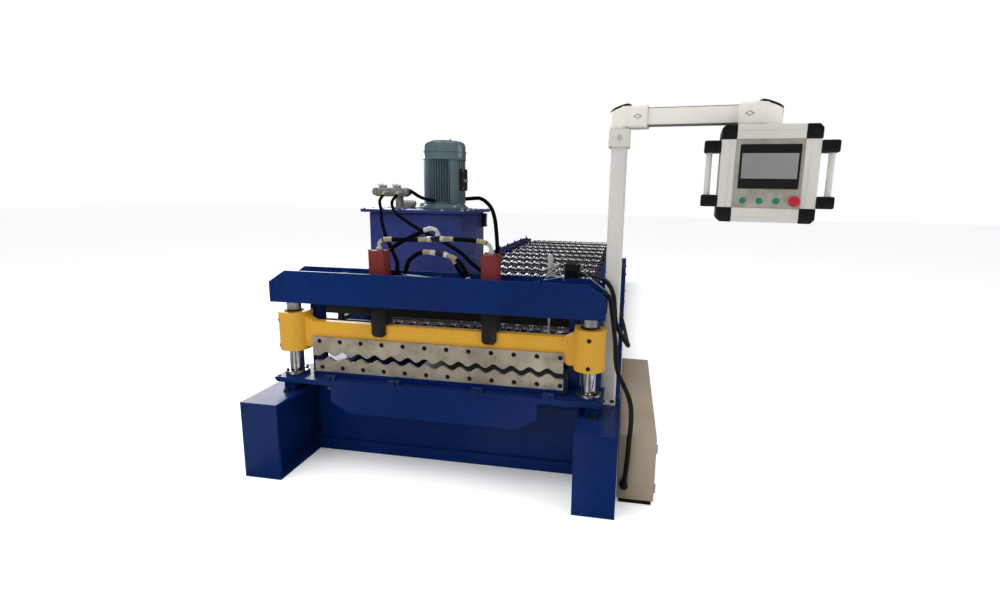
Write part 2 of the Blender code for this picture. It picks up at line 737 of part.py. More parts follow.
def make_rams():
    """Piston rod screwed into a black fork that is pinned over the carriage beam."""
    front = carriage_front_y() - SEAT
    rear = carriage_front_y() + carriage_thickness() + SEAT
    low, high = front - CLEVIS_PRONG_T, rear + CLEVIS_PRONG_T
    for side, sign in sides():
        x = sign * CYLINDER_X
        half = CLEVIS_HALF_WIDTH
        outline = [(x - half + CLEVIS_CHAMFER, CLEVIS_BOTTOM_Z),
                   (x + half - CLEVIS_CHAMFER, CLEVIS_BOTTOM_Z),
                   (x + half, CLEVIS_BOTTOM_Z + CLEVIS_CHAMFER), (x + half, CLEVIS_TOP_Z),
                   (x - half, CLEVIS_TOP_Z), (x - half, CLEVIS_BOTTOM_Z + CLEVIS_CHAMFER)]
        bm = bmesh.new()
        add_prism(bm, outline, "Y", low, high)
        ram = finish_mesh(f"ram_{side}", bm, "black", (x, post_y(), PIN_Z))
        slot = bmesh.new()
        add_box(slot, span(x, 4 * half), (front, rear),
                (CLEVIS_BOTTOM_Z - half, CARRIAGE_TOP_Z + CLEVIS_CROTCH_CLEAR))
        cut(ram, slot)
        rods = bmesh.new()
        add_turned(rods, [(CLEVIS_TOP_Z - ROD_R, ROD_R), (ROD_TOP_Z, ROD_R)], "Z", (x, post_y(), 0), 12)
        pin = (low + CLEVIS_PRONG_T / 2, high - CLEVIS_PRONG_T / 2)
        add_turned(rods, [(y, PIN_R) for y in pin], "Y", (x, 0, PIN_Z), 12)
        fuse(ram, rods)


def make_cylinders():
    """Square-headed cylinders on their seats, with the barrel hanging through the beam."""
    for side, sign in sides():
        x = sign * CYLINDER_X
        outline = chamfered(span(x, CYLINDER_SIZE), span(post_y(), CYLINDER_SIZE), CYLINDER_CHAMFER)
        bm = bmesh.new()
        add_prism(bm, outline, "Z", CYLINDER_SEAT_Z + SEAT, CYLINDER_TOP_Z)
        cylinder = finish_mesh(f"cylinder_{side}", bm, "red_paint", (x, post_y(), CYLINDER_SEAT_Z))
        barrel = bmesh.new()
        add_turned(barrel, [(BARREL_BOTTOM_Z, BARREL_R), (CYLINDER_SEAT_Z + BARREL_R, BARREL_R)], "Z",
                   (x, post_y(), 0), POST_SIDES)
        fuse(cylinder, barrel)
        bore = bmesh.new()
        add_turned(bore, [(BARREL_BOTTOM_Z - BARREL_R, ROD_R + RUN), (ROD_BORE_TOP_Z, ROD_R + RUN)], "Z",
                   (x, post_y(), 0), 12)
        cut(cylinder, bore)


# Hydraulic unit

def make_tank():
    """Oil tank on two bearers over the bed, with an overhanging lid."""
    for name, y in (("front", TANK_Y[0] + BEARER_INSET), ("rear", TANK_Y[1] - BEARER_INSET)):
        bm = bmesh.new()
        add_box(bm, (-STAND_OUTER_X, STAND_OUTER_X), span(y, BEARER_WIDTH),
                (STAND_TOP_Z + SEAT, TANK_BOTTOM_Z - SEAT))
        finish_mesh(f"tank_bearer_{name}", bm, "blue_paint")
    bm = bmesh.new()
    lid_bottom = LID_TOP_Z - LID_T
    add_prism(bm, chamfered(TANK_X, TANK_Y, TANK_CHAMFER), "Z", TANK_BOTTOM_Z, lid_bottom - SEAT)
    finish_mesh("oil_tank", bm, "blue_paint")
    bm = bmesh.new()
    x = (TANK_X[0] - LID_OVERHANG, TANK_X[1] + LID_OVERHANG)
    y = (TANK_Y[0] - LID_OVERHANG, TANK_Y[1] + LID_OVERHANG)
    add_prism(bm, chamfered(x, y, TANK_CHAMFER), "Z", lid_bottom, LID_TOP_Z)
    finish_mesh("tank_lid", bm, "blue_paint")


def make_motor():
    """Flanged pump motor: finned body, fan cowl and a terminal box on its right."""
    bm = bmesh.new()
    foot = LID_TOP_Z + SEAT
    cowl_foot = MOTOR_TOP_Z - MOTOR_COWL_H
    fin_r = MOTOR_R + MOTOR_FIN_H
    outline = []
    for i in range(MOTOR_FINS):
        for share, radius in ((-0.25, MOTOR_R), (-0.18, fin_r), (0.18, fin_r), (0.25, MOTOR_R)):
            angle = 2 * math.pi * (i + share) / MOTOR_FINS
            outline.append((MOTOR_X + radius * math.cos(angle), MOTOR_Y + radius * math.sin(angle)))
    add_prism(bm, outline, "Z", foot + MOTOR_FLANGE_T / 2, cowl_foot + MOTOR_FLANGE_T / 2)
    motor = finish_mesh("pump_motor", bm, "green_paint", (MOTOR_X, MOTOR_Y, LID_TOP_Z))
    ends = bmesh.new()
    centre = (MOTOR_X, MOTOR_Y, 0)
    add_turned(ends, [(foot, MOTOR_FLANGE_R), (foot + MOTOR_FLANGE_T, MOTOR_FLANGE_R)], "Z", centre, 20)
    cowl = [(cowl_foot, MOTOR_COWL_R), (MOTOR_TOP_Z - MOTOR_COWL_ROUND, MOTOR_COWL_R),
            (MOTOR_TOP_Z, MOTOR_COWL_TOP_R)]
    add_turned(ends, cowl, "Z", centre, 20)
    fuse(motor, ends)
    reach, width, height = TERMINAL_BOX
    box = bmesh.new()
    add_box(box, (MOTOR_X + MOTOR_R - reach / 4, MOTOR_X + MOTOR_R + reach), span(MOTOR_Y, width),
            span(TERMINAL_Z, height))
    fuse(motor, box)


def make_manifold():
    """Valve block with two solenoid caps, on its column on the lid."""
    width, depth, height = MANIFOLD_SIZE
    bm = bmesh.new()
    x = span(MANIFOLD_X, width)
    z = span(MANIFOLD_Z, height)
    chamfer = MANIFOLD_CHAMFER
    outline = [(x[0], z[0] + chamfer), (x[0] + MANIFOLD_NECK, z[0]), (x[1] - MANIFOLD_NECK, z[0]),
               (x[1], z[0] + chamfer), (x[1], z[1] - chamfer), (x[1] - chamfer, z[1]),
               (x[0] + chamfer, z[1]), (x[0], z[1] - chamfer)]
    add_prism(bm, outline, "Y", *span(MANIFOLD_Y, depth))
    manifold = finish_mesh("valve_manifold", bm, "cast_iron")
    extras = bmesh.new()
    add_box(extras, span(MANIFOLD_X + MANIFOLD_STAND / 3, MANIFOLD_STAND), span(MANIFOLD_Y, MANIFOLD_STAND),
            (LID_TOP_Z + SEAT, z[0] + chamfer / 2))
    for offset in SOLENOID_X:
        reach = (z[1] - chamfer / 2, z[1] + SOLENOID_H)
        add_turned(extras, [(level, SOLENOID_R) for level in reach], "Z",
                   (MANIFOLD_X + offset, MANIFOLD_Y, 0), 10)
    fuse(manifold, extras)


# Guard, measuring wheel and cabinet

def make_drive_guard():
    bm = bmesh.new()
    x = (STAND_OUTER_X + 0.008, BEAM_INNER_X + BEAM_WIDTH)
    y0, y1 = GUARD_Y
    foot = BEAM_HEIGHT + SEAT
    outline = [(y0, foot), (y1, foot), (y1, GUARD_TOP_Z - GUARD_CHAMFER), (y1 - GUARD_CHAMFER, GUARD_TOP_Z),
               (y0 + GUARD_CHAMFER, GUARD_TOP_Z), (y0, GUARD_TOP_Z - GUARD_CHAMFER)]
    add_prism(bm, outline, "X", *x)
    finish_mesh("drive_guard", bm, "blue_paint")


def make_encoder():
    """Length encoder on a bar clamped to the back of the top beam, with its wheel over the sheet."""
    rear = beam_plate_y()[1] + TOP_PLATE_T + SEAT
    bar_t = ENCODER_BAR[2]
    bm = bmesh.new()
    add_box(bm, span(ENCODER_X, ENCODER_BAR[0]), (rear, rear + bar_t), (TOP_BEAM_BOTTOM_Z, ENCODER_BAR[1]))
    bar = finish_mesh("encoder_unit", bm, "cast_iron")
    extras = bmesh.new()
    middle = rear + bar_t / 2
    add_box(extras, (ENCODER_X - ENCODER_BAR[0] / 4, ENCODER_X + ENCODER_BODY_REACH),
            (middle, rear + ENCODER_BODY_DEPTH), ENCODER_BODY_Z)
    stem = (ENCODER_WHEEL_Z, TOP_BEAM_BOTTOM_Z + bar_t)
    add_turned(extras, [(z, ENCODER_STEM_R) for z in stem], "Z", (ENCODER_X, middle, 0), 6)
    fuse(bar, extras)
    wheel = bmesh.new()
    faces = (ENCODER_X - ENCODER_WHEEL_T, ENCODER_X + ENCODER_WHEEL_T)
    add_turned(wheel, [(x, ENCODER_WHEEL_R) for x in faces], "X", (0, middle, ENCODER_WHEEL_Z), 12)
    fuse(bar, wheel)


def make_cabinet():
    """Low electrical cabinet along the right base beam, on a set-back plinth."""
    bm = bmesh.new()
    x0 = BEAM_INNER_X + BEAM_WIDTH + CABINET_GAP
    x = (x0, x0 + CABINET_WIDTH)
    add_box(bm, x, CABINET_Y, (CABINET_PLINTH_H, CABINET_HEIGHT))
    cabinet = finish_mesh("electrical_cabinet", bm, "beige_paint")
    plinth = bmesh.new()
    inset = CABINET_PLINTH_INSET
    add_box(plinth, (x[0] + inset, x[1] - inset), (CABINET_Y[0] + inset, CABINET_Y[1] - inset),
            (0, CABINET_PLINTH_H + inset))
    fuse(cabinet, plinth)


# Pendant

def arm_yaw():
    return math.degrees(math.atan2(BOX_Y - MAST_Y, BOX_X - MAST_X))


def make_mast():
    """Square mast on a foot plate, with a collar at its top."""
    bm = bmesh.new()
    foot = BEAM_HEIGHT + SEAT
    outline = chamfered(span(MAST_X, MAST_SIZE), span(MAST_Y, MAST_SIZE), MAST_CHAMFER)
    add_prism(bm, outline, "Z", foot + MAST_FOOT_T / 2, MAST_TOP_Z)
    mast = finish_mesh("pendant_mast", bm, "white_paint", (MAST_X, MAST_Y, foot))
    ends = bmesh.new()
    width, depth = MAST_FOOT_SIZE
    add_box(ends, span(MAST_X, width), span(MAST_Y, depth), (foot, foot + MAST_FOOT_T))
    collar = chamfered(span(MAST_X, COLLAR_SIZE), span(MAST_Y, COLLAR_SIZE), COLLAR_CHAMFER)
    add_prism(ends, collar, "Z", MAST_TOP_Z - COLLAR_HEIGHT, MAST_TOP_Z)
    fuse(mast, ends)


def make_arm():
    """Swinging arm: a round elbow over the mast and over the box, joined by a straight profile."""
    length = math.hypot(BOX_X - MAST_X, BOX_Y - MAST_Y)
    half = ARM_HEIGHT / 2
    bm = bmesh.new()
    add_box(bm, (0, length), span(0, ARM_WIDTH), (ARM_Z - half, ARM_Z + half))
    elbows = bmesh.new()
    sleeves = bmesh.new()
    near, far = ARM_SLEEVE
    section = chamfered((-ARM_SLEEVE_HALF, ARM_SLEEVE_HALF),
                        (ARM_Z - ARM_SLEEVE_HALF, ARM_Z + ARM_SLEEVE_HALF), COLLAR_CHAMFER)
    for x, foot in ((0, MAST_TOP_Z + SEAT), (length, BOX_TOP_Z + 2 * SEAT)):
        rings = [(foot, ELBOW_R), (ELBOW_TOP_Z - ELBOW_CAP_CHAMFER, ELBOW_R),
                 (ELBOW_TOP_Z, ELBOW_R - ELBOW_CAP_CHAMFER)]
        add_turned(elbows, rings, "Z", (x, 0, 0), 12)
        add_prism(sleeves, section, "X", *((near, far) if x == 0 else (length - far, length - near)))
    place = Matrix.Translation((MAST_X, MAST_Y, 0)) @ Matrix.Rotation(math.radians(arm_yaw()), 4, "Z")
    for drawn in (bm, elbows, sleeves):
        drawn.transform(place)
    arm = finish_mesh("pendant_arm", bm, "white_paint", (MAST_X, MAST_Y, ARM_Z), arm_yaw())
    fuse(arm, elbows)
    fuse(arm, sleeves)


def box_place():
    return Matrix.Translation((BOX_X, BOX_Y, 0)) @ Matrix.Rotation(math.radians(BOX_YAW), 4, "Z")


def make_control_box():
    """Operator box: a profile frame round a set-back face, four corner pieces and two handles."""
    half = BOX_WIDTH / 2
    back = BOX_DEPTH / 2
    bm = bmesh.new()
    add_prism(bm, chamfered((-half, half), (BOX_BOTTOM_Z, BOX_TOP_Z), BOX_CHAMFER), "Y", -back, back)
    bm.transform(box_place())
    box = finish_mesh("control_box", bm, "white_paint", (BOX_X, BOX_Y, BOX_TOP_Z), BOX_YAW)
    recess = bmesh.new()
    add_box(recess, span(0, BOX_WIDTH - 2 * CORNER_SIZE), (-back - CORNER_SIZE, -back + FACE_RECESS),
            (BOX_BOTTOM_Z + CORNER_SIZE, BOX_TOP_Z - CORNER_SIZE))
    corners = bmesh.new()
    blocks = bmesh.new()
    tubes = bmesh.new()
    depth, height = HANDLE_BLOCK
    front = -back - HANDLE_PROUD
    for side, sign in sides():
        for low, high, outer in ((BOX_BOTTOM_Z - CORNER_PROUD, BOX_BOTTOM_Z + CORNER_SIZE, 0),
                                 (BOX_TOP_Z - CORNER_SIZE, BOX_TOP_Z, 1)):
            edge = sign * (half + CORNER_PROUD)
            inner = sign * (half - CORNER_SIZE)
            levels = (low, high) if outer else (high, low)
            outline = [(inner, levels[0]), (edge, levels[0]),
                       (edge, levels[1] + (BOX_CHAMFER if not outer else -BOX_CHAMFER)),
                       (edge - sign * BOX_CHAMFER, levels[1]), (inner, levels[1])]
            add_prism(corners, outline, "Y", -back - CORNER_PROUD, back + CORNER_PROUD)
        for z in HANDLE_Z:
            x = sorted((sign * (half - HANDLE_TUBE_R), sign * (half + HANDLE_REACH)))
            add_box(blocks, x, (front, front + depth), span(z, height))
        x = sign * (half + HANDLE_REACH - HANDLE_TUBE_INSET)
        add_turned(tubes, [(z, HANDLE_TUBE_R) for z in HANDLE_Z], "Z", (x, front + depth / 2, 0), 8)
    for drawn in (recess, corners, blocks, tubes):
        drawn.transform(box_place())
    cut(box, recess)
    for drawn in (corners, blocks, tubes):
        fuse(box, drawn)


def make_operator_panel():
    """Face plate in the box's recess, with the screen, three buttons and the stop button."""
    middle = (BOX_BOTTOM_Z + BOX_TOP_Z) / 2
    seat = -BOX_DEPTH / 2 + FACE_RECESS - SEAT
    face = seat - PANEL_T
    inset = CORNER_SIZE + SEAT
    bm = bmesh.new()
    add_box(bm, span(0, BOX_WIDTH - 2 * inset), (face, seat), (BOX_BOTTOM_Z + inset, BOX_TOP_Z - inset))
    controls = bmesh.new()
    screen_w, screen_h = SCREEN_SIZE
    root = face + PANEL_T / 2
    add_box(controls, span(SCREEN_X, screen_w), (face - SCREEN_PROUD, root), span(SCREEN_Z, screen_h))
    for x in BUTTON_X:
        add_turned(controls, [(face - BUTTON_REACH, BUTTON_R), (root, BUTTON_R)], "Y",
                   (x, 0, BUTTON_Z), 12)
    tip = face - STOP_REACH
    stop = [(tip, STOP_R - STOP_HEAD_T / 4), (tip + STOP_HEAD_T / 3, STOP_R), (tip + STOP_HEAD_T, STOP_R),
            (tip + STOP_HEAD_T, STOP_NECK_R), (root, STOP_NECK_R)]
    add_turned(controls, stop, "Y", (STOP_X, 0, BUTTON_Z), 12)
    bm.transform(box_place())
    controls.transform(box_place())
    front = finish_mesh("operator_panel", bm, "panel", (BOX_X, BOX_Y, middle), BOX_YAW)
    fuse(front, controls)


# Hoses and cables

def smooth_route(points, steps):
    """Points along a smooth curve through the route's own points; its two end runs stay straight."""
    route = [Vector(p) for p in points]
    result = [route[0]]
    for a, b, c, d in zip(route, route[1:], route[2:], route[3:]):
        for i in range(steps):
            t = i / steps
            result.append(0.5 * ((2 * b) + (c - a) * t + (2 * a - 5 * b + 4 * c - d) * t ** 2
                                 + (3 * b - 3 * c + d - a) * t ** 3))
    return result + route[-2:]


def make_hose(name, points, radius):
    curve = bpy.data.curves.new(name, "CURVE")
    curve.dimensions = "3D"
    curve.bevel_depth = radius
    curve.bevel_resolution = 2
    curve.use_fill_caps = True
    route = smooth_route(points, HOSE_STEPS)
    spline = curve.splines.new("POLY")
    spline.points.add(len(route) - 1)
    for point, place in zip(spline.points, route):
        point.co = (*place, 1.0)
    curve.materials.append(material("black"))
    made = bpy.data.objects.new(name, curve)
    bpy.context.scene.collection.objects.link(made)


def make_hoses():
    """Pressure hoses between the cylinders, their tees and the manifold, and the two conduits."""
    y = post_y()
    head = CYLINDER_TOP_Z + SEAT
    port = CYLINDER_X - CYLINDER_SIZE / 2 - SEAT
    behind = y + CYLINDER_SIZE / 2 + HOSE_R + HOSE_CLEAR
    valve_face = MANIFOLD_Y - MANIFOLD_SIZE[1] / 2 - SEAT
    make_hose("hose_line_top", [(-CYLINDER_X, y, head), (-CYLINDER_X, y, 1.010), (-0.232, y, 1.029),
                                (-0.205, y, 1.035), (-0.090, y, 1.037), (0.017, y, 1.044),
                                (0.110, y, 1.045), (0.195, y, 1.040), (0.230, y, 1.031),
                                (CYLINDER_X, y, 1.010), (CYLINDER_X, y, head)], HOSE_R)
    make_hose("hose_line_bottom", [(-port, y, 0.852), (-0.180, y, 0.852), (-0.148, y, 0.862),
                                   (-0.130, y, 0.900), (-0.110, y, 0.950), (-0.060, y, 0.983),
                                   (0.000, y, 0.986), (0.060, y, 0.976), (0.110, y, 0.950),
                                   (0.140, y, 0.900), (0.152, y, 0.862), (0.180, y, 0.852),
                                   (port, y, 0.852)], HOSE_R)
    make_hose("supply_hose_top", [(0.017, y, 1.055 + SEAT), (0.017, y, 1.066), (0.010, y, 1.080),
                                  (-0.008, y, 1.086), (-0.037, y + 0.006, 1.080),
                                  (-0.077, y + 0.018, 1.062), (-0.130, y + 0.036, 1.038),
                                  (-0.183, y + 0.051, 1.012), (-0.233, behind, 0.975),
                                  (-0.262, behind, 0.930), (-0.262, behind, 0.880),
                                  (-0.235, behind, 0.852), (-0.205, behind, 0.860),
                                  (-0.194, behind, 0.892), (-0.215, -0.035, 0.930),
                                  (-0.323, 0.129, 0.978), (-0.430, 0.309, 1.009),
                                  (-0.558, 0.529, 1.066), (-0.640, 0.689, 1.121),
                                  (-0.690, 0.775, 1.175), (-0.690, 0.810, 1.205),
                                  (-0.690, 0.845, 1.228), (-0.690, valve_face, 1.228)], HOSE_R)
    make_hose("supply_hose_bottom", [(0.040, y + HOSE_R + SEAT, 0.9805), (0.040, y + 0.022, 0.9805),
                                     (0.062, y + 0.034, 0.965), (0.080, y + 0.036, 0.938),
                                     (0.104, y + 0.036, 0.900), (0.130, y + 0.044, 0.868),
                                     (0.160, behind, 0.852), (0.190, behind, 0.866),
                                     (0.190, behind, 0.903), (0.123, -0.031, 0.939),
                                     (0.062, 0.029, 0.970), (-0.059, 0.159, 0.999),
                                     (-0.242, 0.329, 1.039), (-0.407, 0.509, 1.077),
                                     (-0.535, 0.649, 1.119), (-0.600, 0.750, 1.170),
                                     (-0.600, 0.810, 1.210), (-0.600, 0.845, 1.228),
                                     (-0.600, valve_face, 1.228)], HOSE_R)
    bearer_y = TANK_Y[0] + BEARER_INSET
    make_hose("motor_cable", [(-0.222, 1.235, LID_TOP_Z + SEAT), (-0.222, 1.235, 1.170),
                              (-0.214, 1.220, 1.205), (-0.180, 1.180, 1.214), (-0.120, 1.110, 1.186),
                              (-0.062, 1.035, 1.140), (-0.026, 0.980, 1.075), (-0.004, 0.935, 0.990),
                              (0.008, 0.910, 0.900), (0.010, bearer_y, 0.800), (0.010, bearer_y, 0.720),
                              (0.010, bearer_y, TANK_BOTTOM_Z)], CABLE_R)
    encoder_end = ENCODER_X + ENCODER_BODY_REACH + SEAT
    make_hose("encoder_conduit", [(encoder_end, -0.030, 0.905), (0.630, -0.030, 0.905),
                                  (0.690, -0.048, 0.895), (0.722, -0.062, 0.880),
                                  (0.746, -0.076, 0.840), (0.755, -0.078, 0.780), (0.764, -0.074, 0.715),
                                  (0.790, -0.064, 0.660), (0.815, -0.020, 0.612), (0.820, 0.100, 0.575),
                                  (0.815, 0.350, 0.530), (0.800, 0.700, 0.510), (0.775, 1.000, 0.520),
                                  (0.765, 1.080, 0.525), (0.765, GUARD_Y[0] - SEAT, 0.525)], CONDUIT_R)
    cap = TOP_BEAM_BOTTOM_Z + POST_FLANGE_T + SEAT
    front = CABINET_Y[0]
    make_hose("pendant_conduit", [(0.690, -0.110, cap), (0.690, -0.110, 0.800), (0.706, -0.110, 0.835),
                                  (0.735, -0.110, 0.825), (0.752, -0.108, 0.731), (0.765, -0.104, 0.639),
                                  (0.771, -0.100, 0.561), (0.786, -0.100, 0.499), (0.809, -0.110, 0.459),
                                  (0.836, -0.171, 0.414), (0.842, front - 0.026, 0.371),
                                  (0.838, front - 0.034, 0.288), (0.835, front - 0.034, 0.202),
                                  (0.829, front - 0.036, 0.125), (0.826, front - 0.024, 0.088),
                                  (0.826, front - SEAT, 0.088)], CONDUIT_R)


def main():
    clear_scene()
    make_base_beams()
    make_cross_members()
    make_upper_rolls()
    make_lower_bed()
    make_side_frames()
    make_table()
    make_apron()
    make_knife_holder()
    make_knives()
    make_guide_posts()
    make_rear_columns()
    make_top_beam()
    make_carriage()
    make_rams()
    make_cylinders()
    make_tank()
    make_motor()
    make_manifold()
    make_drive_guard()
    make_encoder()
    make_cabinet()
    make_mast()
    make_arm()
    make_control_box()
    make_operator_panel()
    make_hoses()


main()
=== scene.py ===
"""Looks of a roll forming machine for corrugated sheet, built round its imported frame.

Laid out as an add-on and run as a script: sizes and colours stand in property groups, every group
of like pieces has its operator, and main() calls them in order.
"""

import math

import bmesh
import bpy
from bpy.props import FloatProperty, FloatVectorProperty, IntProperty, PointerProperty
from mathutils import Matrix, Vector


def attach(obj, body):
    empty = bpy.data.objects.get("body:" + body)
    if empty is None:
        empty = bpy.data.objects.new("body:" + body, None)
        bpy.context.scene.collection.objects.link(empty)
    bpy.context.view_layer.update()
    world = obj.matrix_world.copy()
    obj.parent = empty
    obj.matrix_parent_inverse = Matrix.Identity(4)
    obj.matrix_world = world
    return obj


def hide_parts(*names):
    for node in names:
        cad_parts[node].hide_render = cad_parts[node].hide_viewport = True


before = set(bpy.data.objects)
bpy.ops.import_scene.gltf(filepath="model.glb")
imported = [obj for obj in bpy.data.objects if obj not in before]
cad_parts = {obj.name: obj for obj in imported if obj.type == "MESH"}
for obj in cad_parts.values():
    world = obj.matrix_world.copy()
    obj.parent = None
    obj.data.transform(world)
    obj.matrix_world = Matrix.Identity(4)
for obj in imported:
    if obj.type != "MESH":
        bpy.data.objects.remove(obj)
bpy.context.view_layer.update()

bl_info = {
    "name": "Roll Forming Machine",
    "version": (1, 0, 0),
    "blender": (4, 5, 0),
    "location": "View3D > Sidebar > Roll Former",
    "description": "Builds the looks of a roll forming machine on its packed frame",
    "category": "Object",
}

# Sizes that the solids have too, in metres
PITCH = 0.0762
WAVE_DEPTH = 0.0185
WAVE_COUNT = 13
ENTRY_FLATNESS = 0.6
PASS_Z = 0.491
STATIONS = 13
STATION_PITCH = 0.4
FIRST_STATION_Y = 0.429
ROLL_MEAN_R = 0.045
AXIS_OFFSET = 0.048
ROLL_HALF_LENGTH = 0.53
JOURNAL_R = 0.022
JOURNAL_END = 0.675
STAND_X = (0.585, 0.705)
STAND_HALF_WIDTH = 0.075
STAND_TOP_Z = 0.6
BLOCK_BOLTS = (-0.055, 0.055)
# Black bars on arms from the rails, a painted shade across the first rolls
SHADE_BAR_ARM_X = 0.602
SHADE_BAR_ARM_Z = (0.6003, 0.612)
SHADE_BAR_Y = (0.135, 0.153)
FOOT_Z = 0.3403
RAIL_T = 0.03
SCREW_TOP_Z = 0.645
BEAM_HEIGHT = 0.34
TABLE_TOP_Z = 0.411
TABLE_FRONT_Y = -0.21
LUG_X = (-0.466, -0.167, 0.203, 0.504)
KNIFE_FRONT_Y = -0.171
KNIFE_T = 0.0125
LOWER_KNIFE_Y = -0.1575
KNIFE_HALF_LENGTH = 0.56
UPPER_KNIFE_TOP_Z = 0.597
LOWER_KNIFE_BOTTOM_Z = 0.434
KNIFE_OPEN = 0.03
KNIFE_BOLTS = 12
KNIFE_BOLT_PITCH = 0.0976
KNIFE_BOLT_OFFSET = 0.0105
KNIFE_BOLT_EDGE = 0.019
POST_X = 0.663
POST_Y = -0.137
POST_R = 0.03
POST_FLANGE_R = 0.052
POST_FLANGE_T = 0.018
TOP_BEAM_BOTTOM_Z = 0.753
TOP_BEAM_REAR_Y = -0.052
TOP_BAR_X = (-0.43, 0.0, 0.43)
CARRIAGE_Y = (-0.1582, -0.1158)
CARRIAGE_Z = (0.56, 0.663)
CARRIAGE_KNEE_X = 0.56
SLEEVE_R = 0.065
SLEEVE_Z = (0.53, 0.704)
SLEEVE_REAR = 0.045
CYLINDER_X = 0.245
CYLINDER_SIZE = 0.07
CYLINDER_TOP_Z = 0.988
CYLINDER_SEAT_Z = 0.815
BARREL_R = 0.034
BARREL_BOTTOM_Z = 0.762
ROD_R = 0.0175
ROD_TOP_Z = 0.94
CLEVIS_HALF_WIDTH = 0.031
CLEVIS_Z = (0.614, 0.745)
CLEVIS_CHAMFER = 0.012
PRONG_T = 0.016
PIN_Z = 0.638
PIN_R = 0.01
TANK_X = (-0.79, -0.204)
TANK_Y = (0.829, 1.363)
TANK_Z = (0.665, 1.109)
BEARER_TOP_Z = 0.6647
LID_TOP_Z = 1.128
LID_OVERHANG = 0.038
FILLER_Y = 1.2
MOTOR = (-0.392, 1.098)
MOTOR_FOOT_Z = 1.1283
MOTOR_COWL_Z = 1.44
GRILLE_TOP_Z = 1.5585
TERMINAL_Z = 1.318
MANIFOLD = (-0.64, 0.905, 1.233)
GUARD_X = (0.713, 0.796)
GUARD_Y = (1.13, 1.58)
ENCODER_X = 0.478
ENCODER_Y = (-0.0517, -0.0397)
CABINET_X = (0.799, 0.947)
CABINET_Y = (-0.228, 0.782)
CABINET_Z = (0.02, 0.298)
MAST = (0.7425, 0.016)
MAST_FOOT_TOP_Z = 0.3523
MAST_TOP_Z = 1.5
ARM_Z = 1.545
ELBOW_TOP_Z = 1.598
BOX = (1.294, -0.0736)
BOX_YAW = math.radians(-6.8)
BOX_HALF_WIDTH = 0.1675
BOX_Z = (1.15, 1.5)
BOX_HALF_DEPTH = 0.085
CORNER_SIZE = 0.052
HANDLE_Z = (1.225, 1.422)
SCREEN = (0.002, 1.3506)
BUTTON_X = (-0.08, -0.023, 0.034)
STOP_X = 0.092
BUTTON_Z = 1.228
HOSE_R = 0.0088
ELBOW_R = 0.008
CABLE_R = 0.0125
CONDUIT_R = 0.01
SEAT = 0.0003
SIDES = (("left", -1), ("right", 1))


def linear(code):
    """Scene-linear colour of a six-digit colour code."""
    values = [int(code[i:i + 2], 16) / 255 for i in (0, 2, 4)]
    return tuple(v / 12.92 if v <= 0.04045 else ((v + 0.055) / 1.055) ** 2.4 for v in values)


def size(name, description, default):
    return FloatProperty(name=name, description=description, default=default, min=0.0, unit="LENGTH",
                         subtype="DISTANCE", precision=4)


def count(name, description, default):
    return IntProperty(name=name, description=description, default=default, min=3)


def colour(name, description, code):
    return FloatVectorProperty(name=name, description=description, default=linear(code), size=3, min=0.0,
                               max=1.0, subtype="COLOR")


class ROLLFORMER_PG_sizes(bpy.types.PropertyGroup):
    """Sizes and counts of the detail."""

    edge_round: size("Edge Round", "Rounding of machined and cast edges", 0.0015)
    roll_sides: count("Roll Sides", "Sides round an upper roll", 48)
    wave_points: count("Points per Wave", "Points along one wave of a roll or knife", 8)
    hose_sides: count("Hose Sides", "Sides round a hose", 16)
    motor_fins: count("Motor Fins", "Cooling fins on each of the pump motor's four sides", 9)
    conduit_pitch: size("Conduit Pitch", "Length of one corrugation of the conduits", 0.0042)
    floor_size: size("Floor Size", "Width and depth of the floor", 60.0)


class ROLLFORMER_PG_colours(bpy.types.PropertyGroup):
    """Colours of the finishes."""

    blue: colour("Blue Enamel", "Frame, beams and tank", "042259")
    yellow: colour("Yellow Enamel", "Shear carriage", "cf9a2c")
    red: colour("Red Enamel", "Shear cylinders", "6d2523")
    green: colour("Motor Green", "Pump motor", "54666a")
    white: colour("Pendant White", "Mast, arm and operator box", "cbc8c0")
    beige: colour("Cabinet Beige", "Electrical cabinet", "a1937f")
    knife: colour("Ground Steel", "Shear knives", "b8ae9b")
    chrome: colour("Chrome", "Rolls, posts and rods", "d9d9dc")
    iron: colour("Cast Iron", "Valve block", "48484a")
    black: colour("Black Oxide", "Forks, screws and nuts", "141416")
    rubber: colour("Hose Rubber", "Pressure hoses and cables", "0b0b0c")
    zinc: colour("Zinc", "Hose fittings and bolts", "e0ded8")
    passivated: colour("Hose End Zinc", "Crimped hose ends", "c4b68e")
    panel: colour("Panel", "Face plate of the operator box", "c2bdb0")
    display: colour("Display", "Screen of the operator box", "858585")
    button: colour("Button Green", "Push buttons", "1f7a63")
    stop: colour("Stop Red", "Stop button", "b5222c")


# Mesh building

def along(axis, origin):
    """Matrix whose local Z runs along an axis such as "X" or "-Y" from origin."""
    turns = {"Z": (0.0, "X"), "-Z": (180.0, "X"), "X": (90.0, "Y"), "-X": (-90.0, "Y"), "Y": (-90.0, "X"),
             "-Y": (90.0, "X")}
    angle, about = turns[axis]
    return Matrix.Translation(origin) @ Matrix.Rotation(math.radians(angle), 4, about)


def outward(sign, origin):
    """Matrix whose local Z runs away from the machine's middle plane."""
    return along("X" if sign > 0 else "-X", origin)


def mirrored(sign, inner, outer):
    """Two values on one side of the middle plane, the lower first."""
    return sorted((sign * inner, sign * outer))


def span(middle, width):
    """Two values a width apart."""
    return (middle - width / 2, middle + width / 2)


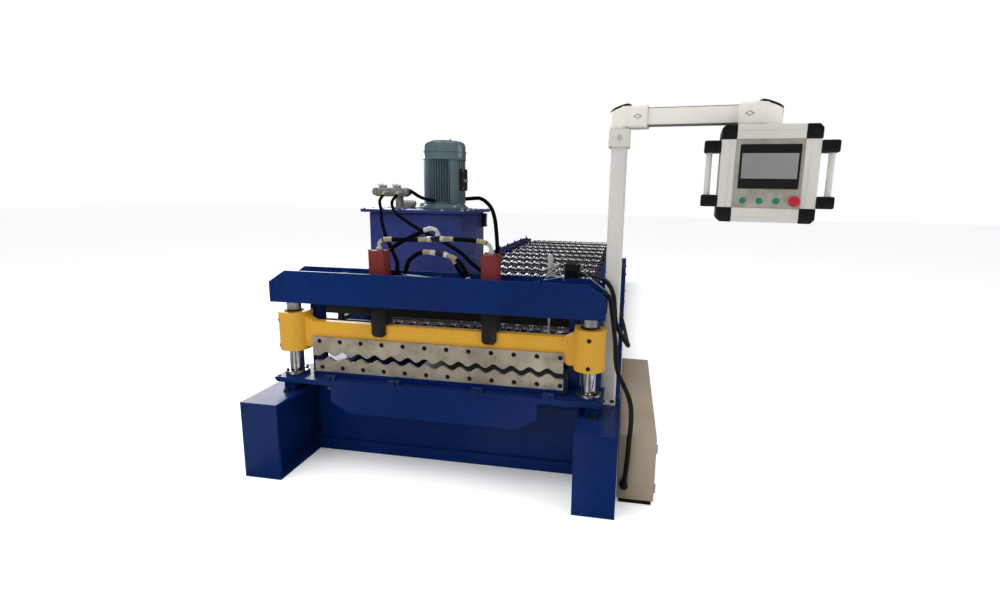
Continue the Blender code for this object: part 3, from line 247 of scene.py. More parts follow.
def round_edges(bm, faces, width, segments=2, least=25.0):
    """Bevel the sharp edges of the faces given."""
    bmesh.ops.recalc_face_normals(bm, faces=faces)
    edges = {edge for face in faces for edge in face.edges}
    sharp = [edge for edge in edges if len(edge.link_faces) == 2
             and edge.calc_face_angle(0.0) > math.radians(least)]
    bmesh.ops.bevel(bm, geom=sharp, offset=width, offset_type="OFFSET", segments=segments, profile=0.5,
                    affect="EDGES", clamp_overlap=True)


def add_block(bm, x, y, z, edge=0.0, segments=2):
    """A box between two values for each axis, with rounded edges."""
    corners = [bm.verts.new((px, py, pz)) for pz in z for py in y for px in x]
    loops = ((0, 1, 3, 2), (4, 6, 7, 5), (0, 4, 5, 1), (2, 3, 7, 6), (0, 2, 6, 4), (1, 5, 7, 3))
    faces = [bm.faces.new([corners[i] for i in loop]) for loop in loops]
    if edge:
        round_edges(bm, faces, edge, segments)


def add_point(bm, point, axis, level):
    """Vertex from a point in the other two axes, in X, Y, Z order, and a level along an axis."""
    values = list(point)
    values.insert("XYZ".index(axis), level)
    return bm.verts.new(values)


def add_walls(bm, near, far):
    """Faces between two closed loops of vertices."""
    return [bm.faces.new((near[i - 1], far[i - 1], far[i], near[i])) for i in range(len(near))]


def join_loops(bm, loops):
    """Skin over a row of loops, with flat ends."""
    for low, high in zip(loops, loops[1:]):
        add_walls(bm, low, high)
    bm.faces.new(list(reversed(loops[0])))
    bm.faces.new(loops[-1])


def ring_points(middle, radius, count, turn=0.5):
    """Points spread evenly round a circle, the first one turned by a share of a step."""
    angles = [2 * math.pi * (i + turn) / count for i in range(count)]
    return [(middle[0] + radius * math.cos(angle), middle[1] + radius * math.sin(angle))
            for angle in angles]


def add_prism(bm, outline, axis, low, high, edge=0.0, segments=2, least=25.0):
    """Extrude a closed outline, given in the other two axes, along an axis."""
    near = [add_point(bm, point, axis, low) for point in outline]
    far = [add_point(bm, point, axis, high) for point in outline]
    faces = [bm.faces.new(near), bm.faces.new(list(reversed(far)))] + add_walls(bm, near, far)
    if edge:
        round_edges(bm, faces, edge, segments, least)


def add_plate(bm, outline, holes, axis, low, high):
    """Extrude an outline with round holes, each given as (middle, radius), along an axis."""
    loops = [outline] + [ring_points(middle, radius, 20, 0) for middle, radius in holes]
    levels = []
    for level in (low, high):
        rings = [[add_point(bm, point, axis, level) for point in loop] for loop in loops]
        edges = [bm.edges.new(ends) for ring in rings for ends in zip(ring, ring[1:] + ring[:1])]
        bmesh.ops.triangle_fill(bm, edges=edges, use_beauty=True)
        levels.append(rings)
    for near, far in zip(*levels):
        add_walls(bm, near, far)


def hexagon(angle):
    """Share of the corner radius that a hexagon has at an angle."""
    return math.cos(math.pi / 6) / math.cos(angle % (math.pi / 3) - math.pi / 6)


def ring_reach(angle, radius, shape):
    """Distance from the axis at an angle, for a round ring or a hexagonal one."""
    return radius * (hexagon(angle) if shape else 1.0)


def add_turned(bm, rings, place, around=24):
    """Join rings of (height, radius) along the local Z of place; a third word makes one hexagonal."""
    angles = [2 * math.pi * i / around for i in range(around)]
    loops = []
    for height, radius, *shape in rings:
        loop = []
        for angle in angles:
            reach = ring_reach(angle, radius, shape)
            point = Vector((reach * math.cos(angle), reach * math.sin(angle), height))
            loop.append(bm.verts.new(place @ point))
        loops.append(loop)
    join_loops(bm, loops)


def add_hex_bolt(bm, place, radius, height, washer=True):
    """Hexagon head, radius to its corners, on a washer."""
    foot = 0.0
    if washer:
        foot = radius * 0.2
        add_turned(bm, [(0, radius * 1.28), (foot * 0.8, radius * 1.28), (foot, radius * 1.22)], place)
    add_turned(bm, [(foot, radius, "hex"), (height - radius * 0.14, radius, "hex"),
                    (height, radius * 0.84)], place)


def add_nut(bm, place, radius, height, stud_r, stud_h):
    """Hexagon nut with the threaded end of its stud."""
    add_hex_bolt(bm, place, radius, height)
    pitch = stud_r * 0.22
    rings = [(height * 0.5, stud_r)]
    level = height
    while level < stud_h - pitch:
        rings += [(level, stud_r), (level + pitch / 2, stud_r * 0.9)]
        level += pitch
    rings.append((stud_h, stud_r * 0.85))
    add_turned(bm, rings, place, 14)


def add_socket_screw(bm, place, radius, height):
    """Cylinder head with a hexagon socket."""
    edge = radius * 0.1
    add_turned(bm, [(0, radius), (height - edge, radius), (height, radius - edge),
                    (height, radius * 0.56, "hex"), (height * 0.35, radius * 0.56, "hex")], place)


class Route:
    """A smooth line through given points whose two end runs stay straight."""

    def __init__(self, points, steps=10):
        route = [Vector(point) for point in points]
        line = [route[0]]
        for a, b, c, d in zip(route, route[1:], route[2:], route[3:]):
            for i in range(steps):
                t = i / steps
                line.append(0.5 * ((2 * b) + (c - a) * t + (2 * a - 5 * b + 4 * c - d) * t ** 2
                                   + (3 * b - 3 * c + d - a) * t ** 3))
        self.line = line + route[-2:]
        self.places = [0.0]
        for start, end in zip(self.line, self.line[1:]):
            self.places.append(self.places[-1] + (end - start).length)
        self.length = self.places[-1]
        self.tangents = []
        for i in range(len(self.line)):
            before = self.line[max(i - 1, 0)]
            after = self.line[min(i + 1, len(self.line) - 1)]
            self.tangents.append((after - before).normalized())
        self.normals = [self.tangents[0].orthogonal().normalized()]
        for start, end in zip(self.tangents, self.tangents[1:]):
            self.normals.append((start.rotation_difference(end) @ self.normals[-1]).normalized())

    def at(self, distance):
        """Point, tangent and normal at a distance from the start."""
        distance = min(max(distance, 0.0), self.length)
        index = 0
        while index < len(self.places) - 2 and self.places[index + 1] < distance:
            index += 1
        share = (distance - self.places[index]) / max(self.places[index + 1] - self.places[index], 1e-9)
        point = self.line[index].lerp(self.line[index + 1], share)
        tangent = self.tangents[index].lerp(self.tangents[index + 1], share).normalized()
        normal = self.normals[index].lerp(self.normals[index + 1], share)
        normal = (normal - tangent * normal.dot(tangent)).normalized()
        return point, tangent, normal

    def nearest(self, x=None, y=None, z=None, after=0.0):
        """Distance of the first sample past another that comes closest to the values given."""
        best = None
        for i in range(401):
            distance = after + (self.length - after) * i / 400
            point = self.at(distance)[0]
            gap = sum((value - point[axis]) ** 2 for axis, value in enumerate((x, y, z))
                      if value is not None)
            if best is None or gap < best[0] - 1e-12:
                best = (gap, distance)
        return best[1]


def add_sweep(bm, route, rings, around=14):
    """Join rings of (distance, radius) along a route; a third word makes one hexagonal."""
    angles = [2 * math.pi * i / around for i in range(around)]
    loops = []
    for distance, radius, *shape in rings:
        point, tangent, normal = route.at(distance)
        side = tangent.cross(normal)
        loops.append([bm.verts.new(point + ring_reach(angle, radius,
                                                      shape) * (normal * math.cos(angle) + side
                                                                * math.sin(angle))) for angle in angles])
    join_loops(bm, loops)


def steady(start, end, radius, step=0.008):
    """Rings of one radius between two distances."""
    count = max(1, round((end - start) / step))
    return [(start + (end - start) * i / count, radius) for i in range(count + 1)]


def ribbed(start, end, radius, depth, pitch):
    """Rings of a corrugated conduit between two distances."""
    rings = []
    count = int((end - start) / pitch)
    for i in range(count):
        foot = start + i * pitch
        rings += [(foot, radius - depth), (foot + pitch * 0.25, radius), (foot + pitch * 0.65, radius),
                  (foot + pitch * 0.9, radius - depth)]
    return rings + [(end, radius - depth)]


def straight(start, end):
    """Route from one point straight to another."""
    return Route([start, Vector(start).lerp(Vector(end), 0.5), end])


def add_weld(bm, start, end, radius=0.003):
    """A rippled weld bead between two points."""
    route = straight(start, end)
    count = max(4, int(route.length / 0.005))
    rings = [(route.length * i / count, radius * (1.0 if i % 2 else 0.82)) for i in range(count + 1)]
    add_sweep(bm, route, rings, 8)


def sizes():
    """The sizes that a user can change."""
    return bpy.context.scene.roll_former_sizes


def paint(name):
    """A finish by its name."""
    if name not in bpy.data.materials:
        raise RuntimeError(f"make the finishes before the pieces, {name} is missing")
    return bpy.data.materials[name]


def add_piece(name, bm, finish, slot, *replaces, body="machine", sharp=32.0):
    """Turn a bmesh into a piece that rides on a body and stands for the nodes named."""
    bmesh.ops.recalc_face_normals(bm, faces=bm.faces)
    mesh = bpy.data.meshes.new(name)
    bm.to_mesh(mesh)
    bm.free()
    mesh.materials.append(paint(finish))
    mesh.shade_smooth()
    mesh.set_sharp_from_angle(angle=math.radians(sharp))
    piece = bpy.data.objects.new(name, mesh)
    bpy.context.scene.collection.objects.link(piece)
    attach(piece, body)
    if replaces:
        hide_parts(*replaces)


def dress(finish, *nodes):
    """Give nodes of the frame a finish."""
    for name in nodes:
        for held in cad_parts[name].material_slots:
            held.material = paint(finish)


# Finishes

class Graph:
    """Places and joins shader nodes in one tree."""

    def __init__(self, tree):
        self.tree = tree
        tree.nodes.clear()

    def add(self, kind, **settings):
        node = self.tree.nodes.new(kind)
        for name, value in settings.items():
            setattr(node, name, value)
        return node

    def feed(self, socket, value):
        if isinstance(value, bpy.types.NodeSocket):
            self.tree.links.new(value, socket)
        else:
            socket.default_value = value

    def call(self, kind, inputs, output=0, **settings):
        """Add a node, feed its inputs by name or number, and give one of its outputs."""
        node = self.add(kind, **settings)
        for name, value in inputs.items():
            self.feed(node.inputs[name], value)
        return node.outputs[output]

    def maths(self, operation, a, b=0.0, c=0.0):
        return self.call("ShaderNodeMath", {0: a, 1: b, 2: c}, operation=operation)

    def blend(self, share, a, b):
        return self.call("ShaderNodeMix", {0: share, 6: a, 7: b}, 2, data_type="RGBA")

    def noise(self, place, scale, detail=3.0, roughness=0.55, distortion=0.0):
        return self.call("ShaderNodeTexNoise", {"Vector": place, "Scale": scale, "Detail": detail,
                                                "Roughness": roughness, "Distortion": distortion})

    def rescale(self, value, low, high, new_low=0.0, new_high=1.0):
        return self.call("ShaderNodeMapRange", {"Value": value, "From Min": low, "From Max": high,
                                                "To Min": new_low, "To Max": new_high},
                         interpolation_type="SMOOTHSTEP")

    def object_place(self):
        return self.call("ShaderNodeTexCoord", {}, "Object")

    def group(self, kind, inputs):
        node = self.add("ShaderNodeGroup", node_tree=bpy.data.node_groups[kind])
        for name, value in inputs.items():
            self.feed(node.inputs[name], value)
        return node.outputs


SOCKETS = {"value": "NodeSocketFloat", "colour": "NodeSocketColor", "vector": "NodeSocketVector"}


def new_group(name, inputs, outputs):
    """Start a node group: its graph, its input sockets and the node that takes its outputs."""
    tree = bpy.data.node_groups.new(name, "ShaderNodeTree")
    for label, kind, default in inputs:
        socket = tree.interface.new_socket(label, in_out="INPUT", socket_type=SOCKETS[kind])
        socket.default_value = default
    for label, kind in outputs:
        tree.interface.new_socket(label, in_out="OUTPUT", socket_type=SOCKETS[kind])
    graph = Graph(tree)
    given = graph.add("NodeGroupInput").outputs
    result = graph.add("NodeGroupOutput").inputs
    return graph, given, result


def build_worn_edges():
    """Mask of rubbed corners, and a normal that rounds every corner a little."""
    graph, given, result = new_group(
        "worn_edges", [("Width", "value", 0.003), ("Amount", "value", 0.5), ("Scale", "value", 40.0)],
        [("Mask", "value"), ("Normal", "vector")])
    rounded = graph.call("ShaderNodeBevel", {"Radius": given["Width"]}, samples=6)
    plain = graph.call("ShaderNodeNewGeometry", {}, "Normal")
    turn = graph.call("ShaderNodeVectorMath", {0: rounded, 1: plain}, "Value", operation="DOT_PRODUCT")
    edge = graph.rescale(turn, 0.985, 0.8)
    spots = graph.rescale(graph.noise(graph.object_place(), given["Scale"]), 0.42, 0.66)
    graph.feed(result["Mask"], graph.maths("MULTIPLY", graph.maths("MULTIPLY", edge, spots),
                                           given["Amount"]))
    graph.feed(result["Normal"], rounded)


def build_settled_dust():
    """Mask of dust on what faces up."""
    graph, given, result = new_group(
        "settled_dust", [("Amount", "value", 0.3), ("Scale", "value", 9.0)], [("Mask", "value")])
    normal = graph.call("ShaderNodeNewGeometry", {}, "Normal")
    upward = graph.call("ShaderNodeSeparateXYZ", {"Vector": normal}, "Z")
    level = graph.rescale(upward, 0.35, 1.0)
    patches = graph.rescale(graph.noise(graph.object_place(), given["Scale"], 6.0, 0.7), 0.25, 0.8, 0.35,
                            1.0)
    graph.feed(result["Mask"], graph.maths("MULTIPLY", graph.maths("MULTIPLY", level, patches),
                                           given["Amount"]))


def build_uneven_tone():
    """A colour that drifts lighter and darker, with fine specks."""
    graph, given, result = new_group(
        "uneven_tone", [("Colour", "colour", (0.5, 0.5, 0.5, 1)), ("Drift", "value", 0.2),
                        ("Specks", "value", 0.1), ("Scale", "value", 3.0)], [("Colour", "colour")])
    place = graph.object_place()
    broad = graph.rescale(graph.noise(place, given["Scale"], 4.0), 0.3, 0.7, -1.0, 1.0)
    fine = graph.rescale(graph.noise(place, 220.0, 2.0, 0.8), 0.55, 0.75)
    gain = graph.maths("MULTIPLY_ADD", broad, given["Drift"], 1.0)
    gain = graph.maths("SUBTRACT", gain, graph.maths("MULTIPLY", fine, given["Specks"]))
    scaled = graph.call("ShaderNodeVectorMath", {0: given["Colour"], "Scale": gain}, operation="SCALE")
    graph.feed(result["Colour"], scaled)


def build_fine_grain():
    """Height and roughness of a fine surface grain, which can be stretched along an axis."""
    graph, given, result = new_group(
        "fine_grain", [("Stretch", "vector", (1, 1, 1)), ("Scale", "value", 300.0),
                       ("Waviness", "value", 0.0)], [("Height", "value"), ("Streaks", "value")])
    place = graph.call("ShaderNodeVectorMath", {0: graph.object_place(), 1: given["Stretch"]},
                       operation="MULTIPLY")
    fine = graph.noise(place, given["Scale"], 2.0, 0.6)
    broad = graph.noise(place, graph.maths("MULTIPLY", given["Scale"], 0.06), 3.0, 0.6)
    graph.feed(result["Height"], graph.maths("MULTIPLY_ADD", broad, given["Waviness"], fine))
    graph.feed(result["Streaks"], graph.rescale(fine, 0.3, 0.7))


def build_stained_metal():
    """Bare metal colour with bright rubbed patches and brown oil stains."""
    graph, given, result = new_group("stained_metal", [("Colour", "colour", (0.6, 0.6, 0.6, 1)),
                                                       ("Stain", "colour", (0.1, 0.08, 0.05, 1)),
                                                       ("Amount", "value", 0.4), ("Scale", "value", 9.0)],
                                     [("Colour", "colour"), ("Patches", "value")])
    place = graph.object_place()
    patches = graph.rescale(graph.noise(place, given["Scale"], 5.0, 0.62, 0.6), 0.36, 0.68)
    stains = graph.rescale(graph.noise(place, graph.maths("MULTIPLY", given["Scale"], 2.7), 6.0, 0.7), 0.52,
                           0.74)
    lifted = graph.call("ShaderNodeVectorMath",
                        {0: given["Colour"], "Scale": graph.maths("MULTIPLY_ADD", patches, 0.35, 0.8)},
                        operation="SCALE")
    graph.feed(result["Colour"], graph.blend(graph.maths("MULTIPLY", stains, given["Amount"]), lifted,
                                             given["Stain"]))
    graph.feed(result["Patches"], patches)


DUST = (*linear("8f8b82"), 1.0)
PRIMER = (*linear("6f7278"), 1.0)
OIL = (*linear("4d4433"), 1.0)


def start_finish(name):
    finish = bpy.data.materials.new(name)
    finish.use_nodes = True
    graph = Graph(finish.node_tree)
    shader = graph.add("ShaderNodeBsdfPrincipled")
    output = graph.add("ShaderNodeOutputMaterial")
    graph.feed(output.inputs["Surface"], shader.outputs["BSDF"])
    return finish, graph, shader.inputs


def coated(name, tone, roughness=0.4, coat=0.0, drift=0.12, specks=0.06, dust=0.2, wear=0.35,
           bare=PRIMER, round_width=0.0025, grain=320.0, relief=0.05, waviness=0.0, gloss=0.5):
    """Enamel, powder coat, plastic or rubber: one colour that is uneven, dusty and rubbed."""
    finish, graph, shader = start_finish(name)
    edges = graph.group("worn_edges", {"Width": round_width, "Amount": wear, "Scale": 45.0})
    dusty = graph.group("settled_dust", {"Amount": dust, "Scale": 9.0})
    base = graph.group("uneven_tone", {"Colour": (*tone, 1.0), "Drift": drift, "Specks": specks,
                                       "Scale": 3.5})
    surface = graph.group("fine_grain", {"Stretch": (1, 1, 1), "Scale": grain, "Waviness": waviness})
    shade = graph.blend(edges["Mask"], base["Colour"], bare)
    graph.feed(shader["Base Color"], graph.blend(dusty["Mask"], shade, DUST))
    rough = graph.maths("MULTIPLY_ADD", surface["Streaks"], 0.08, roughness - 0.04)
    graph.feed(shader["Roughness"], graph.maths("MULTIPLY_ADD", dusty["Mask"], 0.35, rough))
    shader["Specular IOR Level"].default_value = gloss
    shader["Coat Weight"].default_value = coat
    shader["Coat Roughness"].default_value = 0.12
    graph.feed(shader["Normal"], graph.call("ShaderNodeBump", {
        "Strength": relief, "Distance": 0.0015, "Height": surface["Height"], "Normal": edges["Normal"]}))
    return finish


def bare_metal(name, tone, roughness=0.3, stains=0.15, scale=9.0, stretch=(1, 1, 1), grain=260.0,
               relief=0.06, dust=0.0, round_width=0.0012, spread=0.15, metal=1.0):
    """Ground, plated or cast metal with rubbed patches, stains and directional grain."""
    finish, graph, shader = start_finish(name)
    edges = graph.group("worn_edges", {"Width": round_width, "Amount": 1.0, "Scale": 60.0})
    stained = graph.group("stained_metal", {"Colour": (*tone, 1.0), "Stain": OIL, "Amount": stains,
                                            "Scale": scale})
    surface = graph.group("fine_grain", {"Stretch": stretch, "Scale": grain, "Waviness": 0.0})
    dusty = graph.group("settled_dust", {"Amount": dust, "Scale": 11.0})
    graph.feed(shader["Base Color"], graph.blend(dusty["Mask"], stained["Colour"], DUST))
    rough = graph.maths("MULTIPLY_ADD", stained["Patches"], -spread, roughness + spread / 2)
    rough = graph.maths("MULTIPLY_ADD", surface["Streaks"], spread / 2, rough)
    graph.feed(shader["Roughness"], graph.maths("MULTIPLY_ADD", dusty["Mask"], 0.4, rough))
    graph.feed(shader["Metallic"], graph.maths("MULTIPLY_ADD", dusty["Mask"], -metal, metal))
    graph.feed(shader["Normal"], graph.call("ShaderNodeBump", {
        "Strength": relief, "Distance": 0.001, "Height": surface["Height"], "Normal": edges["Normal"]}))
    return finish


def build_finishes():
    """Every finish of the machine, once."""
    colours = bpy.context.scene.roll_former_colours
    build_worn_edges()
    build_settled_dust()
    build_uneven_tone()
    build_fine_grain()
    build_stained_metal()
    steel = (*linear("8d8a83"), 1.0)
    coated("blue_enamel", colours.blue, 0.26, drift=0.14, specks=0.0, dust=0.03, wear=0.22, relief=0.008,
           waviness=0.05, grain=40.0, gloss=0.16)
    coated("tank_enamel", linear("303a74"), 0.24, drift=0.1, specks=0.0, dust=0.02, wear=0.2, relief=0.008,
           waviness=0.06, grain=40.0, gloss=0.25)
    coated("yellow_enamel", colours.yellow, 0.3, gloss=0.35, drift=0.07, dust=0.03, wear=0.25, bare=steel,
           relief=0.08, waviness=0.5, grain=110.0)
    coated("red_enamel", colours.red, 0.45, gloss=0.3, drift=0.16, specks=0.2, dust=0.12, wear=0.55,
           bare=steel, relief=0.2, grain=160.0)
    coated("green_enamel", colours.green, 0.22, 0.5, drift=0.15, specks=0.1, dust=0.2, wear=0.4, bare=steel,
           relief=0.22, grain=140.0)
    coated("white_enamel", colours.white, 0.28, 0.1, drift=0.03, specks=0.02, dust=0.04, wear=0.1,
           relief=0.05)
    # Painted highlight: the arm's white is a lighter copy of the pendant white, standing for the glare on
    # the arm
    coated("arm_white_painted_highlight", linear("e2ded5"), 0.26, 0.2, drift=0.03, specks=0.02, dust=0.03, wear=0.1,
           relief=0.02)
    coated("beige_enamel", colours.beige, 0.48, drift=0.05, specks=0.05, dust=0.05, wear=0.15, relief=0.12,
           grain=420.0)
    coated("black_oxide", colours.black, 0.42, drift=0.25, specks=0.1, dust=0.06, wear=0.3, bare=steel,
           round_width=0.001, relief=0.1)
    coated("hose_rubber", colours.rubber, 0.55, drift=0.12, dust=0.0, gloss=0.0, wear=0.0, relief=0.16,
           grain=700.0)
    coated("black_plastic", colours.black, 0.4, drift=0.08, dust=0.05, wear=0.0, relief=0.12, grain=600.0)
    coated("green_plastic", colours.button, 0.34, 0.2, drift=0.05, dust=0.0, wear=0.0, relief=0.03)
    coated("red_plastic", colours.stop, 0.34, 0.2, drift=0.05, dust=0.0, wear=0.0, relief=0.03)
    coated("display_glass", colours.display, 0.16, 0.4, drift=0.05, specks=0.0, dust=0.0, wear=0.0,
           relief=0.0)
    coated("bezel_plastic", linear("1b1a1a"), 0.4, gloss=0.3, drift=0.04, dust=0.0, wear=0.0, relief=0.05)
    coated("yellow_wire", linear("8f8654"), 0.4, drift=0.1, dust=0.0, wear=0.0, relief=0.02)
    coated("filler_cap", linear("7da4c4"), 0.4, 0.1, drift=0.08, dust=0.1, wear=0.1, relief=0.05)
    bare_metal("ground_steel", colours.knife, 0.4, stains=0.42, scale=7.0, stretch=(1.0, 1.0, 0.06),
               grain=300.0, relief=0.1, spread=0.22, metal=0.55)
    bare_metal("hard_chrome", colours.chrome, 0.14, stains=0.1, scale=16.0, stretch=(0.1, 1.0, 1.0),
               grain=240.0, relief=0.02, spread=0.1)
    bare_metal("cast_iron", colours.iron, 0.58, stains=0.2, scale=30.0, grain=180.0, relief=0.5, dust=0.15,
               spread=0.1)
    bare_metal("bright_zinc", colours.zinc, 0.26, stains=0.12, scale=60.0, relief=0.05, metal=0.6)
    bare_metal("hose_end_zinc", colours.passivated, 0.3, stains=0.2, scale=60.0, relief=0.06, metal=0.6)
    bare_metal("cast_grey", linear("8f8d88"), 0.45, stains=0.25, scale=30.0, grain=180.0, relief=0.3,
               metal=0.35)
    bare_metal("face_plate", colours.panel, 0.4, stains=0.03, scale=12.0, stretch=(0.05, 1.0, 1.0),
               grain=500.0, relief=0.04, spread=0.1, metal=0.5)


# Base frame and roller bed

def make_base():
    """Bolts and welds of the two base beams; the beams and cross members keep their solids."""
    dress("blue_enamel", "base_beam_left", "base_beam_right", "front_cross_sill", "cross_member_1",
          "cross_member_2", "cross_member_3")
    bolts = bmesh.new()
    welds = bmesh.new()
    for sign in (-1, 1):
        for y in (-0.191, -0.032):
            add_hex_bolt(bolts, along("Z", (sign * 0.687, y, BEAM_HEIGHT)), 0.013, 0.013)
        for y in (-0.05, 0.05):
            add_weld(welds, (sign * 0.626, y, 0.004), (sign * 0.626, y, 0.05), 0.0035)
        add_weld(welds, (sign * 0.629, -0.3495, 0.3395), (sign * 0.794, -0.3495, 0.3395), 0.0012)
    add_piece("base_bolts", bolts, "black_oxide", "black_iron")
    add_piece("base_welds", welds, "blue_enamel", "blue_paint")


def station_y(index):
    """Middle of a roll station along the bed."""
    return FIRST_STATION_Y + index * STATION_PITCH


def wave_rings(index, phase, points):
    """Crests and grooves of one roll with a thin split at the foot of each groove."""
    edge = (WAVE_COUNT + 0.5) * PITCH / 2
    depth = WAVE_DEPTH * (1 - ENTRY_FLATNESS * index / (STATIONS - 1))
    count = max(2, round(2 * edge / PITCH * points))
    rings = []
    for i in range(count + 1):
        x = -edge + 2 * edge * i / count
        rings.append((x, ROLL_MEAN_R + phase * depth / 2 * math.cos(2 * math.pi * x / PITCH)))
    plain = ROLL_HALF_LENGTH - 0.003
    end = []
    level = edge + PITCH / 2
    while level < plain - 0.012:
        end += [(level - 0.001, ROLL_MEAN_R), (level, ROLL_MEAN_R - 0.0015), (level + 0.001, ROLL_MEAN_R)]
        level += PITCH / 2
    end += [(plain, ROLL_MEAN_R), (ROLL_HALF_LENGTH, ROLL_MEAN_R - 0.003)]
    return [(-x, r) for x, r in reversed(end)] + rings + end


def roll_rings(index, phase, points):
    """One roll from end to end: journal, nut, collar, waves and the same again."""
    collar = [(-JOURNAL_END, JOURNAL_R - 0.002), (-JOURNAL_END + 0.002, JOURNAL_R), (-0.5835, JOURNAL_R),
              (-0.5835, JOURNAL_R + 0.01), (-0.572, JOURNAL_R + 0.01), (-0.572, JOURNAL_R),
              (-0.553, JOURNAL_R), (-0.553, 0.036), (-0.551, 0.038), (-0.534, 0.038), (-0.5325, 0.036),
              (-0.5325, 0.03), (-ROLL_HALF_LENGTH, 0.03)]
    return collar + wave_rings(index, phase, points) + [(-x, r) for x, r in reversed(collar)]


def make_rolls():
    """The upper rolls, each on its own spinning body."""
    for index in range(STATIONS):
        bm = bmesh.new()
        place = along("X", (0, station_y(index), PASS_Z + AXIS_OFFSET))
        add_turned(bm, roll_rings(index, 1, sizes().wave_points), place, sizes().roll_sides)
        name = f"upper_roll_{index + 1:02d}"
        add_piece(f"{name}_turned", bm, "hard_chrome", "chrome", name, body=f"roll_{index + 1:02d}",
                  sharp=40.0)


def make_drive_ends():
    """Shaft ends with their hubs, outside the left rail."""
    rings = [(JOURNAL_END - 0.004, 0.019), (0.712, 0.019), (0.712, 0.029), (0.736, 0.029), (0.738, 0.027),
             (0.738, 0.0175), (0.78, 0.0175), (0.782, 0.0155)]
    lower = bmesh.new()
    for index in range(STATIONS):
        add_turned(lower, rings, along("-X", (0, station_y(index), PASS_Z - AXIS_OFFSET)), 28)
        upper = bmesh.new()
        add_turned(upper, rings, along("-X", (0, station_y(index), PASS_Z + AXIS_OFFSET)), 28)
        add_piece(f"drive_end_{index + 1:02d}", upper, "cast_iron", "black_iron",
                  body=f"roll_{index + 1:02d}")
    add_piece("drive_ends_lower", lower, "cast_iron", "black_iron")


def make_shade_bars():
    """Painted shade: black bars between the last rolls and the shear, on arms from the rails, that stand
    for the shade across the first rolls.
    """
    bars = bmesh.new()
    bolts = bmesh.new()
    low, high = SHADE_BAR_ARM_Z
    add_block(bars, (-0.7, 0.616), SHADE_BAR_Y, (high + 0.018, high + 0.058), 0.002)
    add_block(bars, (-0.7, -0.38), SHADE_BAR_Y, (low - 0.02, low), 0.002)
    for sign in (-1, 1):
        x = sign * SHADE_BAR_ARM_X
        add_block(bars, span(x, 0.026), (0.134, 0.154), (high, high + 0.02), 0.001)
        add_block(bars, span(x, 0.028), (0.132, 0.405), SHADE_BAR_ARM_Z, 0.0015)
        for y in (0.372, 0.394):
            add_hex_bolt(bolts, along("Z", (x, y, high)), 0.0085, 0.006)
    add_piece("shade_bars", bars, "black_oxide", "black_iron")
    add_piece("shade_bar_bolts", bolts, "black_oxide", "black_iron")


def bed_reach():
    """Where the rails begin and end."""
    return (station_y(0) - STAND_HALF_WIDTH, station_y(STATIONS - 1) + STAND_HALF_WIDTH)


def make_lower_bed():
    """Lower rolls and the bearing rails that carry them."""
    rolls = bmesh.new()
    for index in range(STATIONS):
        place = along("X", (0, station_y(index), PASS_Z - AXIS_OFFSET))
        add_turned(rolls, roll_rings(index, -1, 6), place, 32)
    add_piece("lower_rolls", rolls, "hard_chrome", "chrome", "lower_roll_bed", sharp=40.0)
    rails = bmesh.new()
    caps = bmesh.new()
    for sign in (-1, 1):
        x = mirrored(sign, *STAND_X)
        add_block(rails, x, bed_reach(), (FOOT_Z, FOOT_Z + RAIL_T), 0.002)
        for index in range(STATIONS):
            y = station_y(index)
            add_block(rails, x, span(y, 2 * STAND_HALF_WIDTH), (FOOT_Z + RAIL_T - 0.004, PASS_Z), 0.002)
            add_bearing_cap(caps, sign, y, PASS_Z - AXIS_OFFSET)
            for offset in BLOCK_BOLTS:
                add_hex_bolt(caps, outward(sign, (sign * STAND_X[1], y + offset, 0.395)), 0.008, 0.005,
                             False)
    add_piece("bearing_rails", rails, "blue_enamel", "blue_paint", "lower_roll_bed")
    add_piece("lower_bearing_caps", caps, "black_oxide", "black_iron")


def add_bearing_cap(bm, sign, y, z):
    """Round cap over a journal on the outer face of its bearing block, with four screws."""
    add_turned(bm, [(-0.004, 0.038), (0.0035, 0.038), (0.0045, 0.037), (0.0045, 0.026), (0.003, 0.024)],
               outward(sign, (sign * STAND_X[1], y, z)), 28)
    for screw_y, screw_z in ring_points((y, z), 0.0315, 4):
        place = outward(sign, (sign * (STAND_X[1] + 0.0045), screw_y, screw_z))
        add_socket_screw(bm, place, 0.0035, 0.0012)


def make_side_frames():
    """Upper bearing yokes with their tie bars and adjusting screws."""
    for side, sign in SIDES:
        x = mirrored(sign, *STAND_X)
        bm = bmesh.new()
        screws = bmesh.new()
        add_block(bm, x, bed_reach(), (STAND_TOP_Z - RAIL_T, STAND_TOP_Z), 0.002)
        for index in range(STATIONS):
            y = station_y(index)
            low, high = y - STAND_HALF_WIDTH, y + STAND_HALF_WIDTH
            foot, top = PASS_Z + SEAT, STAND_TOP_Z - RAIL_T + 0.002
            bore = ((y, PASS_Z + AXIS_OFFSET), JOURNAL_R + 0.0008)
            add_plate(bm, [(low, foot), (high, foot), (high, top), (low, top)], [bore], "X", *x)
            middle = sign * (STAND_X[0] + STAND_X[1]) / 2
            add_nut(screws, along("Z", (middle, y, STAND_TOP_Z)), 0.017, 0.014, 0.009,
                    SCREW_TOP_Z - STAND_TOP_Z - 0.001)
            for offset in BLOCK_BOLTS:
                add_hex_bolt(screws, outward(sign, (sign * STAND_X[1], y + offset, 0.545)), 0.008, 0.005,
                             False)
                add_hex_bolt(screws, along("Z", (middle, y + offset, STAND_TOP_Z)), 0.011, 0.009)
        add_piece(f"bearing_yokes_{side}", bm, "blue_enamel", "blue_paint", f"side_frame_{side}")
        add_piece(f"adjusting_screws_{side}", screws, "black_oxide", "black_iron")


# Shear

